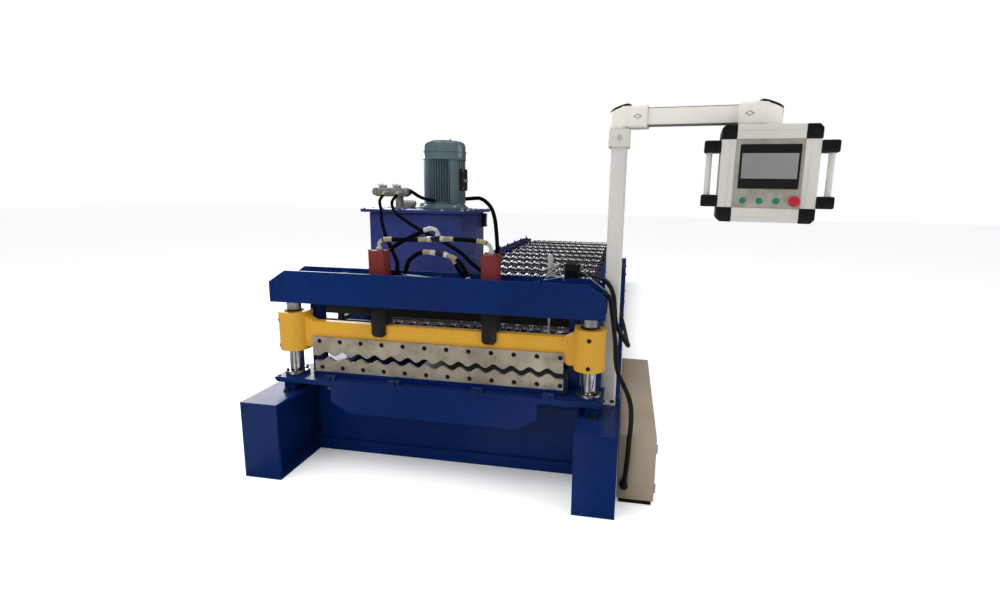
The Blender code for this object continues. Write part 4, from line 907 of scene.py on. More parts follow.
def make_table():
    """Adjusting screws, welds and foot bolts of the shear table, the apron and the knife holder."""
    dress("blue_enamel", "shear_table", "apron_plate", "knife_holder", "rear_column_left",
          "rear_column_right")
    screws = bmesh.new()
    welds = bmesh.new()
    for x in LUG_X:
        for axis, depth, height in (("-Y", 0.001, 0.0105), ("Y", 0.019, 0.007)):
            place = along(axis, (x, TABLE_FRONT_Y + depth, TABLE_TOP_Z + 0.01))
            add_hex_bolt(screws, place, 0.0095, height, False)
        for edge in (x - 0.026, x + 0.026):
            add_weld(welds, (edge, TABLE_FRONT_Y + 0.002, TABLE_TOP_Z + 0.0005),
                     (edge, TABLE_FRONT_Y + 0.018, TABLE_TOP_Z + 0.0005), 0.002)
    for sign in (-1, 1):
        for y in (-0.195, -0.045):
            add_socket_screw(screws, along("Z", (sign * 0.715, y, TABLE_TOP_Z)), 0.006, 0.0035)
        add_hex_bolt(screws, along("-Y", (sign * 0.56, -0.1585, 0.424)), 0.008, 0.006, False)
        for y in (-0.083, -0.033):
            add_weld(welds, (sign * 0.571, y, TABLE_TOP_Z + 0.001), (sign * 0.619, y, TABLE_TOP_Z + 0.001))
        for z in (0.3425, 0.387):
            add_weld(welds, (sign * 0.657, -0.175, z), (sign * 0.657, -0.032, z))
    for x0, x1 in ((-0.44, -0.3), (-0.1, 0.04), (0.24, 0.38)):
        add_weld(welds, (x0, TABLE_FRONT_Y + 0.001, 0.388), (x1, TABLE_FRONT_Y + 0.001, 0.388), 0.0018)
    add_piece("table_screws", screws, "black_oxide", "black_iron")
    add_piece("table_welds", welds, "blue_enamel", "blue_paint")


def wave_line(base_z, points):
    """Wavy cutting edge from left to right."""
    half = WAVE_COUNT * PITCH / 2 + PITCH / 2
    count = (WAVE_COUNT + 1) * points
    line = [(-KNIFE_HALF_LENGTH, base_z - WAVE_DEPTH / 2)]
    for i in range(count + 1):
        x = -half + 2 * half * i / count
        line.append((x, base_z - WAVE_DEPTH / 2 * math.cos(2 * math.pi * x / PITCH)))
    return line + [(KNIFE_HALF_LENGTH, base_z - WAVE_DEPTH / 2)]


def make_knives():
    """Ground knives with counterbored holes and their socket screws."""
    half = KNIFE_HALF_LENGTH
    first = KNIFE_BOLT_OFFSET - (KNIFE_BOLTS - 1) * KNIFE_BOLT_PITCH / 2
    middles = [first + i * KNIFE_BOLT_PITCH for i in range(KNIFE_BOLTS)]
    points = sizes().wave_points + 4
    lower = wave_line(PASS_Z, points) + [(half, LOWER_KNIFE_BOTTOM_Z), (-half, LOWER_KNIFE_BOTTOM_Z)]
    upper = wave_line(PASS_Z + KNIFE_OPEN, points) + [(half, UPPER_KNIFE_TOP_Z), (-half, UPPER_KNIFE_TOP_Z)]
    for name, outline, y, z, body in (
            ("lower_knife", lower, LOWER_KNIFE_Y, LOWER_KNIFE_BOTTOM_Z + KNIFE_BOLT_EDGE, "machine"),
            ("upper_knife", upper, KNIFE_FRONT_Y, UPPER_KNIFE_TOP_Z - KNIFE_BOLT_EDGE, "carriage")):
        bm = bmesh.new()
        add_plate(bm, outline, [((x, z), 0.0105) for x in middles], "Y", y, y + KNIFE_T)
        add_piece(f"{name}_ground", bm, "ground_steel", "knife_steel", name, body=body)
        screws = bmesh.new()
        for x in middles:
            add_socket_screw(screws, along("-Y", (x, y + KNIFE_T, z)), 0.0096, KNIFE_T - 0.003)
        add_piece(f"{name}_screws", screws, "black_oxide", "black_iron", body=body)


def make_posts():
    """Ground guide posts with bolted flanges, and the nuts over the top beam's caps."""
    bolts = bmesh.new()
    foot = TABLE_TOP_Z + SEAT
    flange = foot + POST_FLANGE_T
    rings = [(foot, POST_FLANGE_R), (flange - 0.0015, POST_FLANGE_R), (flange, POST_FLANGE_R - 0.0015),
             (flange, POST_R + 0.003), (flange + 0.003, POST_R), (TOP_BEAM_BOTTOM_Z - SEAT, POST_R)]
    for side, sign in SIDES:
        x = sign * POST_X
        bm = bmesh.new()
        add_turned(bm, rings, along("Z", (x, POST_Y, 0)), 48)
        add_piece(f"guide_post_{side}_ground", bm, "hard_chrome", "chrome", f"guide_post_{side}")
        for point in ring_points((x, POST_Y), 0.041, 4):
            add_socket_screw(bolts, along("Z", (*point, flange)), 0.0068, 0.008)
        cap = TOP_BEAM_BOTTOM_Z + POST_FLANGE_T
        add_nut(bolts, along("Z", (x, POST_Y, cap)), 0.034, 0.026, 0.02, 0.042)
    add_piece("post_bolts", bolts, "black_oxide", "black_iron")


def make_top_beam():
    """Welds and seat screws of the top beam, which keeps its solid."""
    dress("blue_enamel", "top_beam")
    welds = bmesh.new()
    inner = (TABLE_FRONT_Y + 0.012, TOP_BEAM_REAR_Y - 0.012)
    for x in TOP_BAR_X:
        for y in inner:
            for edge in (x - 0.015, x + 0.015):
                add_weld(welds, (edge, y, 0.866), (edge, y, 0.8775), 0.0025)
            add_weld(welds, (x - 0.014, y, 0.8785), (x + 0.014, y, 0.8785), 0.0025)
    screws = bmesh.new()
    for x in (-CYLINDER_X, CYLINDER_X):
        for y in inner:
            add_weld(welds, (x - 0.058, y, CYLINDER_SEAT_Z), (x + 0.058, y, CYLINDER_SEAT_Z))
        for dx in (-0.051, 0.051):
            for dy in (-0.05, 0.05):
                add_hex_bolt(screws, along("Z", (x + dx, POST_Y + dy, CYLINDER_SEAT_Z)), 0.0085, 0.008)
    add_piece("top_beam_welds", welds, "blue_enamel", "blue_paint")
    add_piece("cylinder_seat_bolts", screws, "black_oxide", "black_iron")


def make_carriage():
    """Yellow cross beam with smooth half-round sleeves, gussets and set screws."""
    bm = bmesh.new()
    screws = bmesh.new()
    wipers = bmesh.new()
    inner = POST_X - SLEEVE_R
    knee = CARRIAGE_KNEE_X
    bottom, top = CARRIAGE_Z
    half = [(knee, bottom), (knee + 0.015, bottom - 0.015), (inner + 0.012, bottom - 0.015),
            (inner + 0.012, SLEEVE_Z[1] - 0.015), (inner - 0.006, SLEEVE_Z[1] - 0.024), (knee, top)]
    add_prism(bm, half + [(-x, z) for x, z in reversed(half)], "Y", *CARRIAGE_Y, edge=0.0022)
    wiper = [(0, 0.04), (0.004, 0.04), (0.005, 0.039), (0.005, POST_R + 0.0009), (0, POST_R + 0.0009)]
    for side, sign in SIDES:
        x = sign * POST_X
        rear = POST_Y + SLEEVE_REAR
        sleeve = [(x + SLEEVE_R - 0.004, rear), (x - SLEEVE_R + 0.004, rear), (x - SLEEVE_R, rear - 0.004)]
        for i in range(37):
            angle = math.pi + math.pi * i / 36
            sleeve.append((x + SLEEVE_R * math.cos(angle), POST_Y + SLEEVE_R * math.sin(angle)))
        sleeve.append((x + SLEEVE_R, rear - 0.004))
        add_plate(bm, sleeve, [((x, POST_Y), POST_R + 0.0008)], "Z", *SLEEVE_Z)
        for z in (0.666, 0.55):
            place = along("-Y", (x, POST_Y - SLEEVE_R + 0.0008, z))
            if side == "left":
                out = Vector((-math.cos(0.75), -math.sin(0.75), 0)).to_track_quat("Z", "Y")
                at = Vector((x, POST_Y, z)) + out @ Vector((0, 0, SLEEVE_R - 0.0012))
                place = Matrix.Translation(at) @ out.to_matrix().to_4x4()
            add_socket_screw(screws, place, 0.0092, 0.0026)
        add_turned(wipers, wiper, along("Z", (x, POST_Y, SLEEVE_Z[1] - 0.001)), 36)
        add_turned(wipers, wiper, along("-Z", (x, POST_Y, SLEEVE_Z[0] + 0.001)), 36)
    add_piece("shear_carriage_welded", bm, "yellow_enamel", "yellow_paint", "shear_carriage",
              body="carriage")
    add_piece("carriage_screws", screws, "black_oxide", "black_iron", body="carriage")
    add_piece("sleeve_wipers", wipers, "black_plastic", "black_iron", body="carriage")


def make_cylinders():
    """Square-headed cylinders with their screws, and the forked rams under them."""
    for side, sign in SIDES:
        x = sign * CYLINDER_X
        bm = bmesh.new()
        add_block(bm, span(x, CYLINDER_SIZE), span(POST_Y, CYLINDER_SIZE),
                  (CYLINDER_SEAT_Z + SEAT, CYLINDER_TOP_Z), 0.005, 3)
        add_piece(f"cylinder_{side}_head", bm, "red_enamel", "red_paint", f"cylinder_{side}")
        barrel = bmesh.new()
        seat = CYLINDER_SEAT_Z + 0.002
        add_turned(barrel, [(BARREL_BOTTOM_Z, ROD_R + 0.0008), (BARREL_BOTTOM_Z, BARREL_R - 0.002),
                            (BARREL_BOTTOM_Z + 0.002, BARREL_R), (seat, BARREL_R), (seat, ROD_R + 0.0008)],
                   along("Z", (x, POST_Y, 0)), 36)
        add_piece(f"cylinder_{side}_barrel", barrel, "black_oxide", "black_iron", f"cylinder_{side}")
        screws = bmesh.new()
        for dx in (-0.031, 0.031):
            for dy in (-0.031, 0.031):
                add_socket_screw(screws, along("Z", (x + dx, POST_Y + dy, CYLINDER_TOP_Z)), 0.006, 0.004)
        add_piece(f"cylinder_{side}_screws", screws, "black_oxide", "black_iron")
        make_ram(side, x)


def make_ram(side, x):
    """Black fork over the carriage beam with its rod and pin."""
    name = f"ram_{side}"
    half = CLEVIS_HALF_WIDTH
    bottom, top = CLEVIS_Z
    cut = CLEVIS_CHAMFER
    front, rear = CARRIAGE_Y
    fork = bmesh.new()
    outline = [(x - half + cut, bottom), (x + half - cut, bottom), (x + half, bottom + cut),
               (x + half, top), (x - half, top), (x - half, bottom + cut)]
    add_prism(fork, outline, "Y", front - SEAT - PRONG_T, front - SEAT, edge=0.0025)
    add_prism(fork, outline, "Y", rear + SEAT, rear + SEAT + PRONG_T, edge=0.0025)
    add_block(fork, (x - half + 0.0004, x + half - 0.0004), (front - 0.006, rear + 0.006),
              (CARRIAGE_Z[1] + 0.004, top - 0.0004))
    add_piece(f"{name}_fork", fork, "black_oxide", "black_iron", name, body="carriage")
    rod = bmesh.new()
    add_turned(rod, [(top - 0.004, ROD_R), (ROD_TOP_Z, ROD_R)], along("Z", (x, POST_Y, 0)), 32)
    add_piece(f"{name}_rod", rod, "hard_chrome", "chrome", name, body="carriage")
    pin = bmesh.new()
    low, high = front - PRONG_T - 0.0015, rear + PRONG_T + 0.0015
    add_turned(pin, [(low, PIN_R - 0.0015), (low + 0.0012, PIN_R), (high - 0.0012, PIN_R),
                     (high, PIN_R - 0.0015)], along("Y", (x, 0, PIN_Z)), 28)
    add_piece(f"{name}_pin", pin, "black_oxide", "black_iron", body="carriage")


# Hydraulic unit

def make_tank():
    """Oil tank with its lid, bearers, level gauge, fillers and screws."""
    bm = bmesh.new()
    add_block(bm, TANK_X, TANK_Y, (TANK_Z[0], TANK_Z[1] - SEAT), 0.01, 4)
    add_piece("oil_tank_shell", bm, "tank_enamel", "blue_paint", "oil_tank")
    lid = bmesh.new()
    x0, x1 = TANK_X[0] - LID_OVERHANG, TANK_X[1] + LID_OVERHANG
    y0, y1 = TANK_Y[0] - LID_OVERHANG, TANK_Y[1] + LID_OVERHANG
    add_block(lid, (x0, x1), (y0, y1), (LID_TOP_Z - 0.012, LID_TOP_Z), 0.002)
    add_block(lid, (x0 + 0.002, x1 - 0.002), (y0 + 0.002, y1 - 0.002), (TANK_Z[1], LID_TOP_Z - 0.0125),
              0.001)
    add_piece("tank_lid_plate", lid, "tank_enamel", "blue_paint", "tank_lid")
    dress("blue_enamel", "tank_bearer_front", "tank_bearer_rear")
    screws = bmesh.new()
    for i in range(6):
        for j in range(6):
            if i in (0, 5) or j in (0, 5):
                at = (x0 + 0.018 + (x1 - x0 - 0.036) * i / 5, y0 + 0.018 + (y1 - y0 - 0.036) * j / 5,
                      LID_TOP_Z)
                add_hex_bolt(screws, along("Z", at), 0.0075, 0.006)
    welds = bmesh.new()
    for edge, inward in ((TANK_Y[0], 1), (TANK_Y[1], -1)):
        for sign in (-1, 1):
            for offset in (0.048, 0.092):
                at = (sign * 0.645, edge + inward * offset, BEARER_TOP_Z)
                add_hex_bolt(screws, along("Z", at), 0.01, 0.009)
        for offset in (0.03, 0.11):
            y = edge + inward * offset
            add_weld(welds, (TANK_X[0] + 0.02, y, 0.6655), (TANK_X[1] - 0.02, y, 0.6655))
    add_piece("tank_screws", screws, "bright_zinc", "black_iron")
    add_piece("tank_welds", welds, "blue_enamel", "blue_paint")
    make_tank_fittings()


def make_tank_fittings():
    """Level gauge, return filter, filler cap and drain plug of the tank."""
    wall = TANK_X[1]
    gauge = bmesh.new()
    add_block(gauge, (wall, wall + 0.03), (1.3, 1.338), (1.008, 1.1), 0.004)
    add_piece("level_gauge_body", gauge, "black_plastic", "black_iron")
    window = bmesh.new()
    add_block(window, (wall + 0.0295, wall + 0.0315), (1.312, 1.328), (1.03, 1.078), 0.0008)
    add_piece("level_gauge_window", window, "display_glass", "panel_metal")
    plugs = bmesh.new()
    for z in (1.018, 1.09):
        add_hex_bolt(plugs, along("X", (wall + 0.0295, 1.32, z)), 0.008, 0.006, False)
    add_hex_bolt(plugs, along("X", (wall, 1.27, 0.7)), 0.014, 0.014)
    add_piece("tank_plugs", plugs, "bright_zinc", "black_iron")
    turned = (
        ("filler_base", "cast_grey", "grey_iron", "Z", (-0.69, FILLER_Y, LID_TOP_Z), 32,
         [(0, 0.045), (0.01, 0.045), (0.012, 0.043), (0.012, 0.018), (0.034, 0.018), (0.036, 0.016)]),
        ("return_filter", "face_plate", "grey_iron", "X", (-0.735, FILLER_Y, LID_TOP_Z + 0.03), 28,
         [(0, 0.019), (0.003, 0.022), (0.08, 0.022), (0.084, 0.018), (0.094, 0.018)]),
        ("filler_cap", "filler_cap", "panel_metal", "Z", (-0.58, FILLER_Y, LID_TOP_Z), 32,
         [(0, 0.024), (0.012, 0.024), (0.013, 0.027), (0.032, 0.027), (0.036, 0.023)]))
    for name, finish, slot, axis, origin, around, rings in turned:
        bm = bmesh.new()
        add_turned(bm, rings, along(axis, origin), around)
        add_piece(name, bm, finish, slot)


def make_motor():
    """Flanged pump motor: fins, fan cowl with its grille, terminal box and bolts."""
    x, y = MOTOR
    fins = sizes().motor_fins
    bm = bmesh.new()
    outline = []
    finned = math.radians(66)
    for quarter in range(4):
        middle = quarter * math.pi / 2
        for i in range(fins):
            for share, radius in ((0.22, 0.112), (0.28, 0.112), (0.35, 0.131), (0.41, 0.1322),
                                  (0.59, 0.1322), (0.65, 0.131), (0.72, 0.112), (0.78, 0.112)):
                angle = middle + finned * ((i + share) / fins - 0.5)
                outline.append((x + radius * math.cos(angle), y + radius * math.sin(angle)))
        for i in range(9):
            angle = middle + finned / 2 + (math.pi / 2 - finned) * i / 8
            outline.append((x + 0.1305 * math.cos(angle), y + 0.1305 * math.sin(angle)))
    add_prism(bm, outline, "Z", 1.168, MOTOR_COWL_Z + 0.006)
    centre = along("Z", (x, y, 0))
    foot = MOTOR_FOOT_Z
    add_turned(bm, [(foot, 0.1485), (foot + 0.0015, 0.15), (foot + 0.015, 0.15), (foot + 0.0165, 0.1485),
                    (foot + 0.0165, 0.139), (foot + 0.026, 0.136), (foot + 0.03, 0.128),
                    (foot + 0.048, 0.1245), (foot + 0.05, 0.11)], centre, 64)
    cowl = [(MOTOR_COWL_Z, 0.13), (MOTOR_COWL_Z, 0.1355), (MOTOR_COWL_Z + 0.004, 0.1375),
            (MOTOR_COWL_Z + 0.01, 0.135), (1.487, 0.135), (1.488, 0.1385), (1.494, 0.1385), (1.495, 0.134),
            (1.526, 0.133)]
    for i in range(1, 9):
        angle = math.pi / 2 * i / 8
        cowl.append((1.526 + 0.03 * math.sin(angle), 0.103 + 0.03 * math.cos(angle)))
    for i in range(6):
        radius = 0.094 - i * 0.015
        cowl += [(1.556, radius + 0.003), (GRILLE_TOP_Z, radius), (GRILLE_TOP_Z, radius - 0.004),
                 (1.553, radius - 0.006), (1.553, radius - 0.009)]
    add_turned(bm, cowl, centre, 64)
    for i in range(8):
        rib = bmesh.ops.create_cube(bm, size=1.0)["verts"]
        bmesh.ops.scale(bm, vec=(0.086, 0.004, 0.004), verts=rib)
        bmesh.ops.translate(bm, vec=(0.057, 0, 1.5565), verts=rib)
        turn = Matrix.Rotation(2 * math.pi * (i + 0.5) / 8, 4, "Z")
        bmesh.ops.transform(bm, matrix=centre @ turn, verts=rib)
    terminals = bmesh.new()
    add_block(terminals, (x + 0.112, x + 0.13), span(y, 0.11), span(TERMINAL_Z, 0.133), 0.004)
    add_block(terminals, (x + 0.1285, x + 0.135), span(y, 0.114), span(TERMINAL_Z, 0.137), 0.002)
    add_piece("motor_terminal_box", terminals, "black_oxide", "green_paint")
    add_piece("pump_motor_housing", bm, "green_enamel", "green_paint", "pump_motor", sharp=40.0)
    bolts = bmesh.new()
    for point in ring_points(MOTOR, 0.1425 * 0.985, 4):
        add_hex_bolt(bolts, along("Z", (*point, foot + 0.0165)), 0.0095, 0.01, False)
    for dy, dz in ((-0.045, 0.056), (0.045, 0.056), (-0.045, -0.056), (0.045, -0.056)):
        add_socket_screw(bolts, along("X", (x + 0.135, y + dy, TERMINAL_Z + dz)), 0.0042, 0.003)
    add_turned(bolts, [(0, 0.01), (0.004, 0.01), (0.005, 0.0065), (0.012, 0.0075), (0.014, 0.0065)],
               along("Z", (x + 0.04, y, GRILLE_TOP_Z)), 16)
    add_piece("pump_motor_bolts", bolts, "bright_zinc", "grey_iron")
    gland = bmesh.new()
    add_turned(gland, [(0, 0.013, "hex"), (0.008, 0.013, "hex"), (0.009, 0.01), (0.013, 0.01),
                       (0.014, 0.0115, "hex"), (0.022, 0.0115, "hex"), (0.024, 0.008), (0.024, 0.005),
                       (0.016, 0.005)], along("X", (x + 0.135, y - 0.02, 1.312)), 24)
    add_piece("motor_gland", gland, "hose_end_zinc", "grey_iron")


def make_manifold():
    """Valve block on its column, with two solenoids and their plugs."""
    x, y, z = MANIFOLD
    bm = bmesh.new()
    left, right = x - 0.148, x + 0.086
    outline = [(left, z - 0.016), (left + 0.03, z - 0.029), (right - 0.025, z - 0.029), (right, z - 0.016),
               (right, z + 0.014), (right - 0.012, z + 0.025), (left + 0.014, z + 0.025), (left, z + 0.014)]
    add_prism(bm, outline, "Y", y - 0.035, y + 0.035, edge=0.008, segments=4)
    add_block(bm, (x + 0.002, x + 0.036), span(y, 0.052), (LID_TOP_Z + SEAT, z - 0.022), 0.006, 3)
    add_block(bm, (x - 0.016, x + 0.054), span(y, 0.064), (LID_TOP_Z + SEAT, LID_TOP_Z + 0.012), 0.003)
    add_piece("valve_block", bm, "cast_grey", "grey_iron", "valve_manifold")
    coils = bmesh.new()
    plugs = bmesh.new()
    for offset in (-0.088, 0.004):
        place = along("Z", (x + offset, y, z + 0.019))
        add_turned(coils, [(0, 0.024), (0.008, 0.025), (0.01, 0.0235), (0.012, 0.025), (0.016, 0.0245),
                           (0.019, 0.02), (0.02, 0.01)], place, 28)
        add_block(plugs, (x + offset - 0.026, x + offset + 0.006), span(y - 0.006, 0.03),
                  (z + 0.035, z + 0.049), 0.004, 3)
        add_block(plugs, (x + offset + 0.006, x + offset + 0.024), span(y - 0.006, 0.022),
                  (z + 0.035, z + 0.044), 0.003, 3)
        for dx in (-0.03, 0.03):
            add_socket_screw(coils, along("-Y", (x + offset + dx, y - 0.035, z + 0.01)), 0.005, 0.004)
    for dx in (-0.125, -0.09, -0.01, 0.015, 0.06):
        add_hex_bolt(coils, along("-Y", (x + dx, y - 0.035, z - 0.008)), 0.0075, 0.005)
    add_piece("valve_solenoids", coils, "cast_grey", "grey_iron", "valve_manifold")
    add_piece("valve_plugs", plugs, "white_enamel", "panel_metal", "valve_manifold")


# Hoses and cables

def in_plane(y, points):
    """Places in one upright plane across the machine."""
    return tuple((x, y, z) for x, z in points)


VALVE_FACE = MANIFOLD[1] - 0.035 - SEAT
BEHIND = POST_Y + 0.0575
HEAD = CYLINDER_TOP_Z + SEAT
PORT = CYLINDER_X - CYLINDER_SIZE / 2
TOP_LINE = in_plane(POST_Y, (
    (-CYLINDER_X, HEAD), (-CYLINDER_X, 1.01), (-0.232, 1.029), (-0.205, 1.035), (-0.09, 1.037),
    (0.017, 1.044), (0.11, 1.045), (0.195, 1.04), (0.23, 1.031), (CYLINDER_X, 1.01), (CYLINDER_X, HEAD)))
BOTTOM_LINE = in_plane(POST_Y, (
    (-PORT, 0.852), (-0.18, 0.852), (-0.148, 0.862), (-0.13, 0.9), (-0.11, 0.95), (-0.06, 0.983),
    (0.0, 0.986), (0.06, 0.976), (0.11, 0.95), (0.14, 0.9), (0.152, 0.862), (0.18, 0.852),
    (PORT, 0.852)))
TOP_SUPPLY = ((0.017, POST_Y, 1.0553), (0.017, POST_Y, 1.066), (0.01, POST_Y, 1.08),
              (-0.008, POST_Y, 1.086), (-0.037, POST_Y + 0.006, 1.08), (-0.077, POST_Y + 0.018, 1.062),
              (-0.13, POST_Y + 0.036, 1.038), (-0.183, POST_Y + 0.051, 1.012), (-0.233, BEHIND, 0.975),
              (-0.262, BEHIND, 0.93), (-0.262, BEHIND, 0.88), (-0.235, BEHIND, 0.852),
              (-0.205, BEHIND, 0.86), (-0.194, BEHIND, 0.892), (-0.215, -0.035, 0.93),
              (-0.323, 0.129, 0.978), (-0.43, 0.309, 1.009), (-0.558, 0.529, 1.066), (-0.64, 0.689, 1.121),
              (-0.69, 0.775, 1.175), (-0.69, 0.81, 1.205), (-0.69, 0.845, 1.228),
              (-0.69, VALVE_FACE, 1.228))
BOTTOM_SUPPLY = ((0.04, POST_Y + 0.0103, 0.9805), (0.04, POST_Y + 0.022, 0.9805),
                 (0.062, POST_Y + 0.034, 0.965), (0.08, POST_Y + 0.036, 0.938),
                 (0.104, POST_Y + 0.036, 0.9), (0.13, POST_Y + 0.044, 0.868), (0.16, BEHIND, 0.852),
                 (0.19, BEHIND, 0.866), (0.19, BEHIND, 0.903), (0.123, -0.031, 0.939), (0.062, 0.029, 0.97),
                 (-0.059, 0.159, 0.999), (-0.242, 0.329, 1.039), (-0.407, 0.509, 1.077),
                 (-0.535, 0.649, 1.119), (-0.6, 0.75, 1.17), (-0.6, 0.81, 1.21), (-0.6, 0.845, 1.228),
                 (-0.6, VALVE_FACE, 1.228))
MOTOR_CABLE = ((-0.296, 1.15, 1.196), (-0.275, 1.165, 1.197), (-0.248, 1.182, 1.199),
               (-0.215, 1.185, 1.202), (-0.176, 1.168, 1.202), (-0.12, 1.11, 1.182), (-0.062, 1.035, 1.14),
               (-0.026, 0.98, 1.075), (-0.004, 0.935, 0.99), (0.008, 0.91, 0.9), (0.01, 0.899, 0.8),
               (0.01, 0.899, 0.72), (0.01, 0.899, 0.665))
VALVE_CABLE = ((-0.556, 0.905, 1.24), (-0.546, 0.906, 1.238), (-0.528, 0.912, 1.228), (-0.5, 0.924, 1.208),
               (-0.468, 0.94, 1.194), (-0.44, 0.958, 1.187), (-0.415, 0.975, 1.184), (-0.408, 0.982, 1.183))
ENCODER_CONDUIT = ((0.6033, -0.03, 0.905), (0.63, -0.03, 0.905), (0.69, -0.048, 0.895),
                   (0.722, -0.062, 0.88), (0.746, -0.076, 0.84), (0.755, -0.078, 0.78),
                   (0.764, -0.074, 0.715), (0.79, -0.064, 0.66), (0.815, -0.02, 0.612), (0.82, 0.1, 0.575),
                   (0.815, 0.35, 0.53), (0.8, 0.7, 0.51), (0.775, 1.0, 0.52), (0.765, 1.08, 0.525),
                   (0.765, GUARD_Y[0] - SEAT, 0.525))
PENDANT_CONDUIT = ((0.69, -0.11, 0.7713), (0.69, -0.11, 0.8), (0.706, -0.11, 0.835), (0.735, -0.11, 0.825),
                   (0.752, -0.108, 0.731), (0.765, -0.104, 0.639), (0.771, -0.1, 0.561),
                   (0.786, -0.1, 0.499), (0.809, -0.11, 0.459), (0.836, -0.171, 0.414),
                   (0.842, -0.254, 0.371), (0.838, -0.262, 0.288), (0.835, -0.262, 0.202),
                   (0.829, -0.264, 0.125), (0.826, -0.252, 0.088), (0.826, -0.2283, 0.088))


def add_ferrule(bm, route, start, end, radius=0.0108):
    """Crimped hose end with flats pressed into its length."""
    length = end - start
    add_sweep(bm, route, [(start, radius - 0.0015), (start + 0.001, radius),
                          (start + length * 0.15, radius), (start + length * 0.18, radius - 0.001),
                          (start + length * 0.5, radius - 0.001), (start + length * 0.53, radius),
                          (start + length * 0.6, radius), (start + length * 0.63, radius - 0.001),
                          (start + length * 0.85, radius - 0.001), (start + length * 0.88, radius),
                          (end - 0.001, radius), (end, radius - 0.0015)], 20)


def add_union_nut(bm, route, start, end, radius=0.0125):
    """Hexagon nut on a hose route."""
    edge = 0.0012
    add_sweep(bm, route, [(start, radius * 0.86), (start + edge, radius, "hex"),
                          (end - edge, radius, "hex"), (end, radius * 0.86)], 24)


def make_hoses():
    """Pressure hoses with their ferrules, nuts, elbows and tees."""
    bright = bmesh.new()
    ends = bmesh.new()
    tees = bmesh.new()
    routes = {}
    for name, points, first, last in (("hose_line_top", TOP_LINE, 0.05, 0.05),
                                      ("hose_line_bottom", BOTTOM_LINE, 0.09, 0.09),
                                      ("supply_hose_top", TOP_SUPPLY, 0.052, 0.03),
                                      ("supply_hose_bottom", BOTTOM_SUPPLY, 0.042, 0.03)):
        route = routes[name] = Route(points)
        rubber = bmesh.new()
        add_sweep(rubber, route, steady(first, route.length - last, HOSE_R), sizes().hose_sides)
        add_piece(f"{name}_rubber", rubber, "hose_rubber", "black_hose", name)

    route = routes["hose_line_top"]
    at = {x: route.nearest(x=x) for x in (-0.223, -0.185, -0.0675, -0.029, -0.011, 0.027, 0.045, 0.047,
                                          0.086, 0.185, 0.225)}
    add_sweep(bright, route, steady(0.004, at[-0.223], ELBOW_R, 0.004), 18)
    add_sweep(bright, route, steady(at[0.225], route.length - 0.004, ELBOW_R, 0.004), 18)
    for start, end in ((-0.223, -0.185), (-0.0675, -0.029), (0.047, 0.086), (0.185, 0.225)):
        add_ferrule(ends, route, at[start], at[end])
    add_tee(tees, route, at[-0.011], at[0.027], (0, 0, 1))
    add_union_nut(bright, route, 0.001, 0.013)
    add_union_nut(bright, route, at[-0.029], at[-0.011])
    add_union_nut(bright, route, at[0.027], at[0.045], 0.0118)
    add_union_nut(bright, route, route.length - 0.013, route.length - 0.001)

    route = routes["hose_line_bottom"]
    beyond = route.length * 0.6
    low, middle, high = (route.nearest(z=z, after=beyond) for z in (0.868, 0.87, 0.888))
    add_union_nut(bright, route, high, low, 0.0118)
    add_union_nut(bright, route, route.nearest(z=0.868), route.nearest(z=0.888), 0.0118)
    add_sweep(bright, route, steady(0.001, route.nearest(z=0.87), ELBOW_R, 0.004), 18)
    add_sweep(bright, route, steady(middle, route.length - 0.001, ELBOW_R, 0.004), 18)
    at = {x: route.nearest(x=x) for x in (-0.048, -0.016, 0.008, 0.042, 0.06, 0.062, 0.096)}
    add_ferrule(ends, route, at[-0.048], at[-0.016])
    add_union_nut(bright, route, at[-0.016], at[0.008], 0.0122)
    add_tee(tees, route, at[0.008], at[0.042], (0, 1, 0))
    add_union_nut(bright, route, at[0.042], at[0.06], 0.0122)
    add_ferrule(ends, route, at[0.062], at[0.096])

    for name, elbow_end in (("supply_hose_top", 0.05), ("supply_hose_bottom", 0.04)):
        route = routes[name]
        add_sweep(bright, route, steady(0.001, elbow_end, ELBOW_R, 0.003), 18)
        add_union_nut(bright, route, 0.002, 0.012, 0.0118)
        add_ferrule(bright, route, elbow_end, elbow_end + 0.034, 0.01)
        add_union_nut(bright, route, route.length - 0.022, route.length - 0.002)
        add_ferrule(ends, route, route.length - 0.058, route.length - 0.022)
    add_piece("hose_fittings_bright", bright, "bright_zinc", "grey_iron")
    add_piece("hose_ferrules", ends, "hose_end_zinc", "grey_iron")
    add_piece("hose_tees", tees, "black_oxide", "black_iron")


def add_tee(bm, route, start, end, branch):
    """Forged tee: a run along the route and a branch away from its middle."""
    add_sweep(bm, route, [(start, 0.0122, "hex"), (start + 0.008, 0.0122, "hex"), (start + 0.009, 0.0105),
                          (end - 0.009, 0.0105), (end - 0.008, 0.0122, "hex"), (end, 0.0122, "hex")], 24)
    middle = route.at((start + end) / 2)[0]
    turn = Vector(branch).to_track_quat("Z", "Y").to_matrix().to_4x4()
    add_turned(bm, [(0, 0.0105), (0.01, 0.0105), (0.0105, 0.009)], Matrix.Translation(middle) @ turn, 20)


